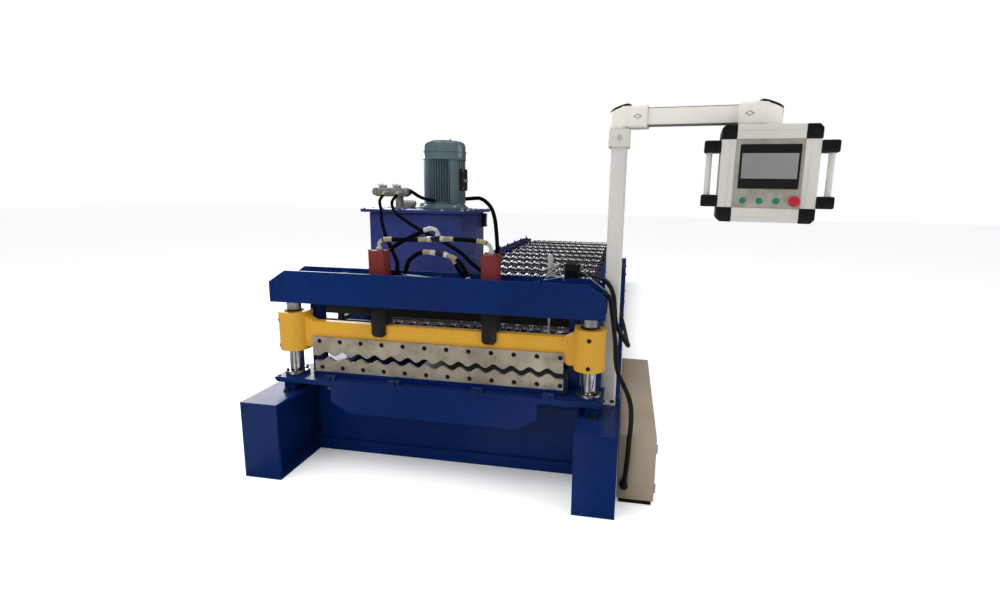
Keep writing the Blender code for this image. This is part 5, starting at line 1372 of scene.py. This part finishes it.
def make_cables():
    """Motor and valve cables, corrugated conduits and their glands."""
    around = sizes().hose_sides
    glands = bmesh.new()
    motor = Route(MOTOR_CABLE)
    cable = bmesh.new()
    add_sweep(cable, motor, steady(0, motor.length, CABLE_R, 0.01), around)
    add_piece("motor_cable_sheath", cable, "hose_rubber", "black_hose", "motor_cable")
    valve = Route(VALVE_CABLE)
    cable = bmesh.new()
    add_sweep(cable, valve, steady(0, valve.length, 0.0105, 0.006), around)
    add_piece("valve_cable", cable, "hose_rubber", "black_hose")
    conduits = {name: Route(points) for name, points in (("encoder_conduit", ENCODER_CONDUIT),
                                                         ("pendant_conduit", PENDANT_CONDUIT))}
    for name, route in conduits.items():
        tube = bmesh.new()
        start = 0.001
        if name == "encoder_conduit":
            start = route.nearest(x=0.7)
            add_sweep(tube, route, steady(0.001, start + 0.002, 0.0062), around)
        rings = ribbed(start, route.length - 0.001, CONDUIT_R, 0.0016, sizes().conduit_pitch)
        add_sweep(tube, route, rings, around)
        add_piece(f"{name}_ribbed", tube, "black_plastic", "black_hose", name)
    encoder, pendant = conduits.values()
    for route, start, end, radius in (
            (motor, 0.0, 0.022, 0.0185), (motor, motor.length - 0.018, motor.length, 0.0185),
            (valve, 0.0, 0.016, 0.0145), (encoder, 0.0, 0.02, 0.011),
            (encoder, encoder.length - 0.026, encoder.length, 0.0185), (pendant, 0.0, 0.026, 0.0185),
            (pendant, pendant.length - 0.022, pendant.length, 0.0185)):
        add_union_nut(glands, route, start, end, radius)
    add_piece("cable_glands", glands, "black_plastic", "black_hose")


# Measuring wheel, guard and cabinet

def make_encoder():
    """Encoder bar, sprung zigzag arms, encoder body and measuring wheel."""
    front, rear = ENCODER_Y
    middle = (front + rear) / 2
    x = ENCODER_X
    node = "encoder_unit"
    bar = bmesh.new()
    add_block(bar, span(x, 0.02), ENCODER_Y, (TOP_BEAM_BOTTOM_Z, 0.985), 0.0015)
    add_turned(bar, [(0.545, 0.005), (TOP_BEAM_BOTTOM_Z + 0.006, 0.005)], along("Z", (x, middle, 0)), 16)
    add_piece("encoder_bar", bar, "bright_zinc", "grey_iron", node)
    body = bmesh.new()
    add_block(body, (0.54, 0.603), (front + 0.001, 0.018), (0.862, 0.951), 0.004)
    add_block(body, span(x, 0.032), (front - 0.0001, rear + 0.008), (0.875, 0.905), 0.002)
    add_piece("encoder_body", body, "black_plastic", "black_iron", node)
    hub = bmesh.new()
    add_turned(hub, [(0, 0.026), (0.003, 0.026), (0.004, 0.025), (0.004, 0.014), (0.007, 0.014),
                     (0.008, 0.012)], along("-Y", (0.569, front + 0.001, 0.9)), 28)
    add_piece("encoder_hub", hub, "cast_iron", "grey_iron", node)
    arms = bmesh.new()
    zigzag = ((0.446, 0.92), (0.52, 0.952), (0.463, 0.9), (0.54, 0.898), (0.452, 0.88), (0.516, 0.926),
              (0.542, 0.88))
    for y in (front - 0.004, front - 0.01):
        points = in_plane(y, zigzag)
        for start, end in zip(points, points[1:]):
            route = straight(start, end)
            add_sweep(arms, route, steady(0, route.length, 0.0026, 0.02), 10)
    add_piece("encoder_arms", arms, "bright_zinc", "grey_iron", node)
    wheel = bmesh.new()
    add_turned(wheel, [(-0.012, 0.01), (-0.012, 0.03), (-0.01, 0.036), (-0.004, 0.0345), (0.0, 0.036),
                       (0.004, 0.0345), (0.01, 0.036), (0.012, 0.03), (0.012, 0.01)],
               along("X", (x, middle, 0.54)), 36)
    add_piece("encoder_wheel", wheel, "black_plastic", "black_iron", node)
    wire = bmesh.new()
    route = Route([(0.59, front - 0.002, 0.95), (0.606, front - 0.016, 0.958), (0.63, -0.08, 0.92),
                   (0.648, -0.09, 0.903), (0.668, -0.1, 0.889), (0.69, -0.108, 0.876),
                   (0.715, -0.114, 0.858)])
    add_sweep(wire, route, steady(0, route.length, 0.0016, 0.006), 8)
    add_piece("encoder_wire", wire, "yellow_wire", "black_hose")


def make_guard():
    """Folded guard over the drive, with its screws."""
    bm = bmesh.new()
    y0, y1 = GUARD_Y
    outline = [(y0, FOOT_Z), (y1, FOOT_Z), (y1, 0.77), (y1 - 0.03, 0.8), (y0 + 0.03, 0.8), (y0, 0.77)]
    add_prism(bm, outline, "X", *GUARD_X, edge=0.004, segments=3)
    add_piece("drive_guard_shell", bm, "blue_enamel", "blue_paint", "drive_guard")
    screws = bmesh.new()
    for y in (y0 + 0.03, y1 - 0.03):
        for z in (0.38, 0.56, 0.74):
            add_hex_bolt(screws, along("X", (GUARD_X[1], y, z)), 0.0075, 0.006)
    add_piece("guard_screws", screws, "bright_zinc", "black_iron")


def make_cabinet():
    """Electrical cabinet with door, hinges, locks and cable gland."""
    x0, x1 = CABINET_X
    y0, y1 = CABINET_Y
    z0, z1 = CABINET_Z
    bm = bmesh.new()
    add_block(bm, CABINET_X, CABINET_Y, CABINET_Z, 0.0025)
    for low, high in ((y0 + 0.018, y0 + 0.498), (y0 + 0.504, y1 - 0.018)):
        add_block(bm, (x1 - 0.001, x1 + 0.0022), (low, high), (z0 + 0.018, z1 - 0.022), 0.0012)
    add_piece("cabinet_shell", bm, "beige_enamel", "beige_paint", "electrical_cabinet")
    plinth = bmesh.new()
    add_block(plinth, (x0 + 0.008, x1 - 0.008), (y0 + 0.008, y1 - 0.008), (0, z0 + 0.001))
    add_piece("cabinet_plinth", plinth, "black_plastic", "beige_paint", "electrical_cabinet")
    metal = bmesh.new()
    for y in (y0 + 0.47, y0 + 0.532):
        add_turned(metal, [(0, 0.011), (0.004, 0.011), (0.005, 0.01), (0.005, 0.004), (0.003, 0.004)],
                   along("X", (x1 + 0.002, y, 0.16)), 24)
    for y in (y0 + 0.018, y1 - 0.018):
        for z in (0.07, 0.24):
            add_turned(metal, [(-0.018, 0.0045), (0.018, 0.0045)], along("Z", (x1 + 0.003, y, z)), 14)
    add_piece("cabinet_locks", metal, "bright_zinc", "beige_paint")


# Pendant

def arm_place():
    """Local X runs along the arm from the mast's axis to the box's axis."""
    yaw = math.atan2(BOX[1] - MAST[1], BOX[0] - MAST[0])
    return Matrix.Translation((MAST[0], MAST[1], 0)) @ Matrix.Rotation(yaw, 4, "Z")


def box_place():
    return Matrix.Translation((BOX[0], BOX[1], 0)) @ Matrix.Rotation(BOX_YAW, 4, "Z")


def chamfered(x, y, cut):
    """Outline of a rectangle with its corners cut off."""
    (x0, x1), (y0, y1) = x, y
    return [(x0 + cut, y0), (x1 - cut, y0), (x1, y0 + cut), (x1, y1 - cut), (x1 - cut, y1), (x0 + cut, y1),
            (x0, y1 - cut), (x0, y0 + cut)]


def add_diamond(bm, place, reach):
    """A small raised diamond outline."""
    add_turned(bm, [(-0.001, reach), (0.0012, reach), (0.0016, reach * 0.92), (0.0016, reach * 0.8),
                    (0.0008, reach * 0.72), (-0.001, reach * 0.72)], place, 4)


def make_mast():
    """Square mast with its welded foot, collar, plugs and bolts."""
    x, y = MAST
    bm = bmesh.new()
    outline = chamfered(span(x, 0.066), span(y, 0.066), 0.008)
    add_prism(bm, outline, "Z", 0.352, MAST_TOP_Z - 0.002, edge=0.002, least=20.0)
    add_block(bm, span(x, 0.066), span(y, 0.13), (FOOT_Z, MAST_FOOT_TOP_Z), 0.0015)
    collar = chamfered(span(x, 0.087), span(y, 0.087), 0.006)
    add_prism(bm, collar, "Z", MAST_TOP_Z - 0.072, MAST_TOP_Z, edge=0.003, segments=3, least=20.0)
    for dy in (-0.033, 0.033):
        add_weld(bm, (x - 0.03, y + dy, 0.3525), (x + 0.03, y + dy, 0.3525))
    plug = along("-Y", (x, y - 0.0435, MAST_TOP_Z - 0.036))
    marks = bmesh.new()
    add_diamond(marks, plug @ Matrix.Diagonal((0.6, 1.0, 1.0, 1.0)), 0.014)
    add_piece("pendant_mast_mark", marks, "cast_grey", "white_paint")
    add_piece("pendant_mast_column", bm, "white_enamel", "white_paint", "pendant_mast")
    bolts = bmesh.new()
    for dx in (-0.02, 0.02):
        for dy in (-0.052, 0.052):
            add_hex_bolt(bolts, along("Z", (x + dx, y + dy, MAST_FOOT_TOP_Z)), 0.0085, 0.008)
    add_piece("mast_bolts", bolts, "black_oxide", "black_iron")


def slope_top(bm, x, out):
    """Let the top of an elbow fall away from the arm."""
    for vert in bm.verts:
        if vert.co.z > 1.57:
            vert.co.z -= 0.36 * max(0.0, 0.03 - out * (vert.co.x - x))


def copy_into(target, source):
    """Move one bmesh into another."""
    mesh = bpy.data.meshes.new("drawn")
    source.to_mesh(mesh)
    source.free()
    target.from_mesh(mesh)
    bpy.data.meshes.remove(mesh)


def make_arm():
    """Straight profile between two cast elbows with black caps."""
    length = math.hypot(BOX[0] - MAST[0], BOX[1] - MAST[1])
    place = arm_place()
    bm = bmesh.new()
    add_block(bm, (0.05, length - 0.05), (-0.03, 0.03), (ARM_Z - 0.033, ARM_Z + 0.033), 0.005, 3)
    marks = bmesh.new()
    for z in (ARM_Z - 0.0333, ARM_Z + 0.0311):
        add_block(marks, (0.06, length - 0.06), (-0.0303, 0.0303), (z, z + 0.0022), 0.0003)
    caps = bmesh.new()
    for x, foot, out in ((0.0, MAST_TOP_Z + SEAT, 1), (length, BOX_Z[1] + 2 * SEAT, -1)):
        near, far = sorted((x + out * 0.036, x + out * 0.112))
        sleeve = chamfered((-0.042, 0.042), (ARM_Z - 0.042, ARM_Z + 0.042), 0.008)
        add_prism(bm, sleeve, "X", near, far, edge=0.003, segments=3, least=20.0)
        inner = sorted((x, x + out * 0.05))
        add_block(bm, inner, (-0.0415, 0.0415), (ARM_Z - 0.038, ARM_Z + 0.0405), 0.004)
        rings = [(foot, 0.04), (foot + 0.001, 0.0425), (foot + 0.006, 0.043), (foot + 0.007, 0.0415),
                 (foot + 0.009, 0.043), (1.586, 0.043), (1.59, 0.0415), (1.592, 0.038)]
        elbow = bmesh.new()
        add_turned(elbow, rings, along("Z", (x, 0, 0)), 48)
        slope_top(elbow, x, out)
        copy_into(bm, elbow)
        cap = bmesh.new()
        add_turned(cap, [(1.588, 0.0425), (1.5945, 0.0425), (1.597, 0.041), (ELBOW_TOP_Z, 0.037)],
                   along("Z", (x, 0, 0)), 48)
        slope_top(cap, x, out)
        copy_into(caps, cap)
        for side in ("-Y", "Y"):
            level = -0.042 if side == "-Y" else 0.042
            plug = along(side, (x + out * 0.074, level, ARM_Z))
            add_diamond(marks, plug @ Matrix.Diagonal((1.0, 0.6, 1.0, 1.0)), 0.016)
    for drawn in (bm, caps, marks):
        drawn.transform(place)
    add_piece("pendant_arm_marks", marks, "cast_grey", "white_paint", body="pendant_arm")
    # The arm profile takes the lighter copy of the white, a painted highlight
    add_piece("pendant_arm_profile", bm, "arm_white_painted_highlight", "white_paint", "pendant_arm", body="pendant_arm")
    add_piece("pendant_arm_caps", caps, "black_plastic", "white_paint", "pendant_arm", body="pendant_arm")


def make_operator_box():
    """Aluminium profiles between four corner pieces, a rear cover and two handles."""
    half = BOX_HALF_WIDTH
    depth = BOX_HALF_DEPTH
    low, high = BOX_Z
    inner = half - CORNER_SIZE
    tall = (low + CORNER_SIZE, high - CORNER_SIZE)
    through = (-depth, depth)
    lip = (-depth - 0.0012, -depth + 0.004)
    bm = bmesh.new()
    add_block(bm, (-half + 0.004, half - 0.004), (-depth + 0.01, depth - 0.004),
              (low + 0.004, high - 0.004), 0.002)
    add_block(bm, (-inner + 0.004, inner - 0.004), (depth - 0.006, depth - 0.0005),
              (tall[0] + 0.004, tall[1] - 0.004), 0.002)
    for sign in (-1, 1):
        add_block(bm, mirrored(sign, inner + 0.0015, half), through, tall, 0.003, 3)
        add_block(bm, mirrored(sign, inner + 0.0175, inner + 0.0215), lip, tall, 0.0008)
        add_block(bm, mirrored(sign, inner, inner + 0.004), (-depth + 0.002, -depth + 0.012), tall, 0.001)
    for z, middle in (((low, tall[0]), low + 0.019), ((tall[1], high), high - 0.019)):
        add_block(bm, (-inner, inner), through, z, 0.003, 3)
        add_block(bm, (-inner, inner), lip, span(middle, 0.004), 0.0008)
    corners = bmesh.new()
    tubes = bmesh.new()
    grips = bmesh.new()
    front = -depth - 0.004
    foot, head = HANDLE_Z[0] + 0.021, HANDLE_Z[1] - 0.021
    for sign in (-1, 1):
        for z, inward in ((low, 1), (high, -1)):
            outer_z = z - 0.0015 if inward > 0 else z
            outer_x = sign * (half + 0.0015)
            outline = [(sign * inner, outer_z), (outer_x - sign * 0.014, outer_z),
                       (outer_x, outer_z + inward * 0.014), (outer_x, z + inward * CORNER_SIZE),
                       (sign * inner, z + inward * CORNER_SIZE)]
            add_prism(corners, outline, "Y", -depth - 0.0015, depth + 0.0015, edge=0.003, segments=3)
            screw = (sign * (inner + 0.028), depth + 0.0013, z + inward * 0.026)
            add_socket_screw(corners, along("Y", screw), 0.005, 0.002)
        for z in HANDLE_Z:
            x0, x1 = mirrored(sign, half - 0.001, half + 0.06)
            outline = [(x0, z - 0.022), (x1, z - 0.022), (x1, z + 0.022), (x0, z + 0.022)]
            add_prism(grips, outline, "Y", front + 0.001, front + 0.06, edge=0.007, segments=4)
            for i in range(5):
                x = sign * (half + 0.008 + i * 0.0105)
                add_block(grips, span(x, 0.0045), (front, front + 0.056), span(z, 0.0432), 0.0008)
        place = along("Z", (sign * (half + 0.04), front + 0.03, 0))
        for rings in ([(foot - 0.01, 0.011), (head + 0.01, 0.011)],
                      [(foot, 0.0125), (foot + 0.004, 0.0125), (foot + 0.005, 0.0112)],
                      [(head - 0.005, 0.0112), (head - 0.004, 0.0125), (head, 0.0125)]):
            add_turned(tubes, rings, place, 28)
    for name, drawn, finish in (("frame", bm, "white_enamel"), ("corners", corners, "black_plastic"),
                                ("grips", grips, "black_plastic"), ("tubes", tubes, "white_enamel")):
        drawn.transform(box_place())
        add_piece(f"operator_box_{name}", drawn, finish, "white_paint", "control_box", body="operator_box")


def make_operator_panel():
    """Face plate with screen, push buttons and stop button."""
    seat = -BOX_HALF_DEPTH + 0.0057
    face = seat - 0.003
    inner = BOX_HALF_WIDTH - CORNER_SIZE - SEAT
    low, high = BOX_Z[0] + CORNER_SIZE + SEAT, BOX_Z[1] - CORNER_SIZE - SEAT
    plate, bezel, display, rings, caps, stop = (bmesh.new() for i in range(6))
    add_block(plate, (-inner, inner), (face, seat), (low, high), 0.0006)
    add_block(bezel, span(SCREEN[0], 0.205), (face - 0.006, face + 0.001), span(SCREEN[1], 0.1585), 0.0028,
              3)
    add_block(display, span(SCREEN[0], 0.189), (face - 0.0066, face - 0.004), (1.3072, 1.3976), 0.0006)
    for x in BUTTON_X:
        place = along("-Y", (x, face, BUTTON_Z))
        add_turned(rings, [(-0.001, 0.0162), (0.0045, 0.0162), (0.0075, 0.015), (0.009, 0.0136),
                           (0.009, 0.0118), (0.006, 0.0118)], place, 36)
        add_turned(caps, [(0.002, 0.0116), (0.011, 0.0116), (0.0122, 0.0104), (0.0116, 0.0086)], place, 36)
    place = along("-Y", (STOP_X, face, BUTTON_Z))
    add_turned(rings, [(-0.001, 0.015), (0.006, 0.015), (0.008, 0.014), (0.008, 0.01)], place, 36)
    add_turned(stop, [(0.006, 0.0115), (0.017, 0.0115), (0.018, 0.0175), (0.02, 0.0196), (0.025, 0.02),
                      (0.03, 0.0188), (0.033, 0.0155), (0.0338, 0.0105)], place, 44)
    for name, drawn, finish in (("plate", plate, "face_plate"), ("bezel", bezel, "bezel_plastic"),
                                ("display", display, "display_glass"), ("rings", rings, "bright_zinc"),
                                ("buttons", caps, "green_plastic"), ("stop", stop, "red_plastic")):
        drawn.transform(box_place())
        add_piece(f"operator_panel_{name}", drawn, finish, "panel_metal", "operator_panel",
                  body="operator_box")


# Stage

def background_share(graph, kinds):
    """1 for rays that show the background, 0 for rays that light the object."""
    path = graph.add("ShaderNodeLightPath")
    share = path.outputs[kinds[0]]
    for kind in kinds[1:]:
        share = graph.maths("MAXIMUM", share, path.outputs[kind])
    return share


def add_window(graph, direction, toward, edge, strength):
    """Strength of a bright round window in one direction of the mirrored hall."""
    share = graph.call("ShaderNodeVectorMath", {0: direction, 1: Vector(toward).normalized()}, "Value",
                       operation="DOT_PRODUCT")
    return graph.rescale(share, edge, 0.975, 0.0, strength)


def make_world():
    """Plain light for surfaces, white for the camera and a dark hall with windows for mirror rays."""
    world = bpy.data.worlds.new("pale_hall")
    world.use_nodes = True
    graph = Graph(world.node_tree)
    direction = graph.call("ShaderNodeTexCoord", {}, "Generated")
    parts = graph.add("ShaderNodeSeparateXYZ")
    graph.feed(parts.inputs["Vector"], direction)
    windows = add_window(graph, direction, (-0.64, 0.68, 0.34), 0.93, 4.5)
    low = graph.maths("MULTIPLY", graph.rescale(parts.outputs["Z"], 0.11, 0.14), graph.rescale(
        parts.outputs["Z"], 0.24, 0.2))
    far = graph.maths("MULTIPLY", graph.rescale(parts.outputs["Y"], 0.55, 0.65), graph.rescale(
        parts.outputs["X"], -0.25, -0.35, 0.0, 2.2))
    windows = graph.maths("MULTIPLY_ADD", low, far, windows)
    windows = graph.maths("ADD", add_window(graph, direction, (0.93, 0.36, 0.07), 0.955, 1.6), windows)
    roof = graph.rescale(parts.outputs["Z"], 0.84, 0.9)
    aside = graph.maths("ABSOLUTE", graph.maths("DIVIDE", parts.outputs["X"],
                                                graph.maths("MAXIMUM", parts.outputs["Z"], 0.05)))
    strips = graph.rescale(graph.maths("ABSOLUTE", graph.maths("SUBTRACT", aside, 0.34)), 0.12, 0.08, 0.0,
                           1.9)
    hall = graph.maths("ADD", graph.maths("MULTIPLY_ADD", roof, strips, 0.03), windows)
    lit = graph.call("ShaderNodeBackground", {"Color": (0.96, 0.98, 1.0, 1.0), "Strength": 0.5})
    mirrored = graph.call("ShaderNodeBackground", {"Color": (0.97, 0.98, 1.0, 1.0), "Strength": hall})
    white = graph.call("ShaderNodeBackground", {"Color": (1, 1, 1, 1), "Strength": 1.0})
    glossy = graph.call("ShaderNodeMixShader", {0: background_share(graph, ["Is Glossy Ray"]), 1: lit,
                                                2: mirrored})
    seen = graph.call("ShaderNodeMixShader", {
        0: background_share(graph, ["Is Camera Ray", "Is Transmission Ray"]), 1: glossy, 2: white})
    output = graph.add("ShaderNodeOutputWorld")
    graph.feed(output.inputs["Surface"], seen)
    bpy.context.scene.world = world


def make_floor(width):
    """A pale floor with a painted shadow: its colour turns dark under the machine's footprint. Mirror rays
    see painted reflection lanes, darker near the machine. For the camera it glows white away from the
    machine, and it keeps the object's shadow.
    """
    mesh = bpy.data.meshes.new("floor")
    half = width / 2
    mesh.from_pydata([(-half, -half, 0), (half, -half, 0), (half, half, 0), (-half, half, 0)], [],
                     [(0, 1, 2, 3)])
    floor = bpy.data.objects.new("floor", mesh)
    floor.location = (0, 2.54, -0.0005)
    bpy.context.scene.collection.objects.link(floor)
    finish, graph, shader = start_finish("pale_floor")
    shader["Roughness"].default_value = 0.9
    place = graph.add("ShaderNodeSeparateXYZ")
    graph.feed(place.inputs["Vector"], graph.object_place())
    bed = graph.maths("MAXIMUM", graph.maths("SUBTRACT", graph.maths("ABSOLUTE", place.outputs["X"]), 0.7),
                      graph.maths("SUBTRACT", graph.maths("ABSOLUTE", place.outputs["Y"]), 2.3))
    # Painted shadow: the floor's colour turns from pale to near black under the machine's footprint
    plain = graph.blend(graph.rescale(bed, -0.08, 0.16), (0.035, 0.035, 0.04, 1.0), (0.92, 0.92, 0.92, 1.0))
    # Painted reflection: mirror rays see the floor as pale stripes across X, darker near the machine
    painted_reflection_lanes = graph.rescale(graph.maths("SINE", graph.maths("MULTIPLY", place.outputs["X"], 4.2)), 0.1, 0.5,
                          0.1, 0.6)
    painted_reflection_lanes = graph.maths("MULTIPLY", painted_reflection_lanes, graph.rescale(bed, -0.1, 0.5, 0.1, 1.0))
    mirrored = background_share(graph, ["Is Glossy Ray"])
    graph.feed(shader["Base Color"], graph.blend(mirrored, plain, painted_reflection_lanes))
    shader["Emission Color"].default_value = (1, 1, 1, 1)
    share = background_share(graph, ["Is Camera Ray", "Is Transmission Ray"])
    aside = graph.maths("SUBTRACT", graph.maths("ABSOLUTE", place.outputs["X"]), 0.75)
    along = graph.maths("SUBTRACT", graph.maths("ABSOLUTE", place.outputs["Y"]), 2.7)
    clear = graph.rescale(graph.maths("MAXIMUM", aside, along), -0.35, 0.35, 0.0, 0.5)
    graph.feed(shader["Emission Strength"], graph.maths("MULTIPLY", share, clear))
    mesh.materials.append(finish)


def add_lamp(name, place, target, width, power):
    lamp = bpy.data.lights.new(name, "AREA")
    lamp.shape = "RECTANGLE"
    lamp.size, lamp.size_y = width
    lamp.energy = power
    made = bpy.data.objects.new(name, lamp)
    made.location = place
    made.visible_glossy = False
    made.rotation_euler = (Vector(target) - Vector(place)).to_track_quat("-Z", "Y").to_euler()
    bpy.context.scene.collection.objects.link(made)


def make_camera():
    """The photograph's view."""
    data = bpy.data.cameras.new("photograph_view")
    data.sensor_width = 36.0
    data.lens = 18.68
    data.shift_x = -0.0388
    data.shift_y = -0.0125
    right = Vector((0.98566, 0.16753, 0.02017))
    up = Vector((-0.04903, 0.16995, 0.98423))
    turn = Matrix((right, up, right.cross(up))).transposed().to_4x4()
    turn.translation = (0.7885, -2.1954, 1.233)
    camera = bpy.data.objects.new("photograph_view", data)
    camera.matrix_world = turn
    bpy.context.scene.collection.objects.link(camera)
    bpy.context.scene.camera = camera


def make_stage():
    """Camera, floor, world and lamps."""
    scene = bpy.context.scene
    scene.view_settings.view_transform = "Standard"
    make_camera()
    make_world()
    make_floor(sizes().floor_size)
    add_lamp("ceiling_lamp", (-1.2, 0.6, 4.6), (0, 1.0, 0.5), (5.0, 7.0), 190.0)
    add_lamp("front_lamp", (-1.6, -3.8, 2.6), (0.1, 0.0, 0.6), (3.0, 2.0), 60.0)
    add_lamp("right_lamp", (4.2, -1.4, 2.2), (0.6, 0.0, 0.7), (2.0, 3.0), 52.0)


# Operators, panel and start

class StepOperator:
    """What every operator here shares: it takes its steps in turn, and a step that fails raises."""

    bl_options = {"REGISTER", "UNDO"}

    def execute(self, context):
        for step in self.steps:
            step()
        return {"FINISHED"}


class ROLLFORMER_OT_stage(StepOperator, bpy.types.Operator):
    """Make the floor, the lamps, the world and the camera."""

    bl_idname = "roll_former.stage"
    bl_label = "Stage"
    steps = (make_stage,)


class ROLLFORMER_OT_finishes(StepOperator, bpy.types.Operator):
    """Make the shader groups and the finishes that the pieces use."""

    bl_idname = "roll_former.finishes"
    bl_label = "Finishes"
    steps = (build_finishes,)


class ROLLFORMER_OT_base(StepOperator, bpy.types.Operator):
    """Finish the base beams and cross members, with their bolts and welds."""

    bl_idname = "roll_former.base"
    bl_label = "Base Frame"
    steps = (make_base,)


class ROLLFORMER_OT_rolls(StepOperator, bpy.types.Operator):
    """Make the upper rolls, the shaft ends and the black bars that paint the shade across the first rolls.
    """

    bl_idname = "roll_former.rolls"
    bl_label = "Upper Rolls"
    steps = (make_drive_ends, make_shade_bars, make_rolls)


class ROLLFORMER_OT_roller_bed(StepOperator, bpy.types.Operator):
    """Make the lower rolls, bearing rails, yokes and adjusting screws."""

    bl_idname = "roll_former.roller_bed"
    bl_label = "Roller Bed"
    steps = (make_lower_bed, make_side_frames)


class ROLLFORMER_OT_table(StepOperator, bpy.types.Operator):
    """Finish the shear table and apron, with their screws and welds."""

    bl_idname = "roll_former.table"
    bl_label = "Shear Table"
    steps = (make_table,)


class ROLLFORMER_OT_knives(StepOperator, bpy.types.Operator):
    """Make the two knives and their screws."""

    bl_idname = "roll_former.knives"
    bl_label = "Knives"
    steps = (make_knives,)


class ROLLFORMER_OT_shear_frame(StepOperator, bpy.types.Operator):
    """Make the guide posts and finish the top beam."""

    bl_idname = "roll_former.shear_frame"
    bl_label = "Shear Frame"
    steps = (make_posts, make_top_beam)


class ROLLFORMER_OT_carriage(StepOperator, bpy.types.Operator):
    """Make the moving carriage."""

    bl_idname = "roll_former.carriage"
    bl_label = "Carriage"
    steps = (make_carriage,)


class ROLLFORMER_OT_cylinders(StepOperator, bpy.types.Operator):
    """Make the cylinders with their rams."""

    bl_idname = "roll_former.cylinders"
    bl_label = "Cylinders and Rams"
    steps = (make_cylinders,)


class ROLLFORMER_OT_tank(StepOperator, bpy.types.Operator):
    """Make the oil tank, its lid and fittings."""

    bl_idname = "roll_former.tank"
    bl_label = "Oil Tank"
    steps = (make_tank,)


class ROLLFORMER_OT_motor(StepOperator, bpy.types.Operator):
    """Make the pump motor."""

    bl_idname = "roll_former.motor"
    bl_label = "Pump Motor"
    steps = (make_motor,)


class ROLLFORMER_OT_manifold(StepOperator, bpy.types.Operator):
    """Make the valve block."""

    bl_idname = "roll_former.manifold"
    bl_label = "Valve Block"
    steps = (make_manifold,)


class ROLLFORMER_OT_hoses(StepOperator, bpy.types.Operator):
    """Make the pressure hoses with their fittings."""

    bl_idname = "roll_former.hoses"
    bl_label = "Hoses"
    steps = (make_hoses,)


class ROLLFORMER_OT_cables(StepOperator, bpy.types.Operator):
    """Make the cables and corrugated conduits."""

    bl_idname = "roll_former.cables"
    bl_label = "Cables and Conduits"
    steps = (make_cables,)


class ROLLFORMER_OT_encoder(StepOperator, bpy.types.Operator):
    """Make the length encoder."""

    bl_idname = "roll_former.encoder"
    bl_label = "Length Encoder"
    steps = (make_encoder,)


class ROLLFORMER_OT_enclosures(StepOperator, bpy.types.Operator):
    """Make the drive guard and the electrical cabinet."""

    bl_idname = "roll_former.enclosures"
    bl_label = "Guard and Cabinet"
    steps = (make_guard, make_cabinet)


class ROLLFORMER_OT_pendant(StepOperator, bpy.types.Operator):
    """Make the mast and the swinging arm."""

    bl_idname = "roll_former.pendant"
    bl_label = "Mast and Arm"
    steps = (make_mast, make_arm)


class ROLLFORMER_OT_operator_box(StepOperator, bpy.types.Operator):
    """Make the operator box with its panel."""

    bl_idname = "roll_former.operator_box"
    bl_label = "Operator Box"
    steps = (make_operator_box, make_operator_panel)


OPERATORS = tuple(StepOperator.__subclasses__())


class ROLLFORMER_PT_panel(bpy.types.Panel):
    """Lists the operators, sizes and colours in the sidebar."""

    bl_idname = "ROLLFORMER_PT_panel"
    bl_label = "Roll Forming Machine"
    bl_space_type = "VIEW_3D"
    bl_region_type = "UI"
    bl_category = "Roll Former"

    def draw(self, context):
        layout = self.layout
        for operator in OPERATORS:
            layout.operator(operator.bl_idname)
        for settings in (context.scene.roll_former_sizes, context.scene.roll_former_colours):
            box = layout.box()
            for name in settings.bl_rna.properties.keys():
                if name not in ("rna_type", "name"):
                    box.prop(settings, name)


CLASSES = (ROLLFORMER_PG_sizes, ROLLFORMER_PG_colours) + OPERATORS + (ROLLFORMER_PT_panel,)


def register():
    for item in CLASSES:
        bpy.utils.register_class(item)
    bpy.types.Scene.roll_former_sizes = PointerProperty(type=ROLLFORMER_PG_sizes)
    bpy.types.Scene.roll_former_colours = PointerProperty(type=ROLLFORMER_PG_colours)


def unregister():
    del bpy.types.Scene.roll_former_colours
    del bpy.types.Scene.roll_former_sizes
    for item in reversed(CLASSES):
        bpy.utils.unregister_class(item)


def main():
    register()
    for operator in OPERATORS:
        group, name = operator.bl_idname.split(".")
        getattr(getattr(bpy.ops, group), name)()


if __name__ == "__main__":
    main()
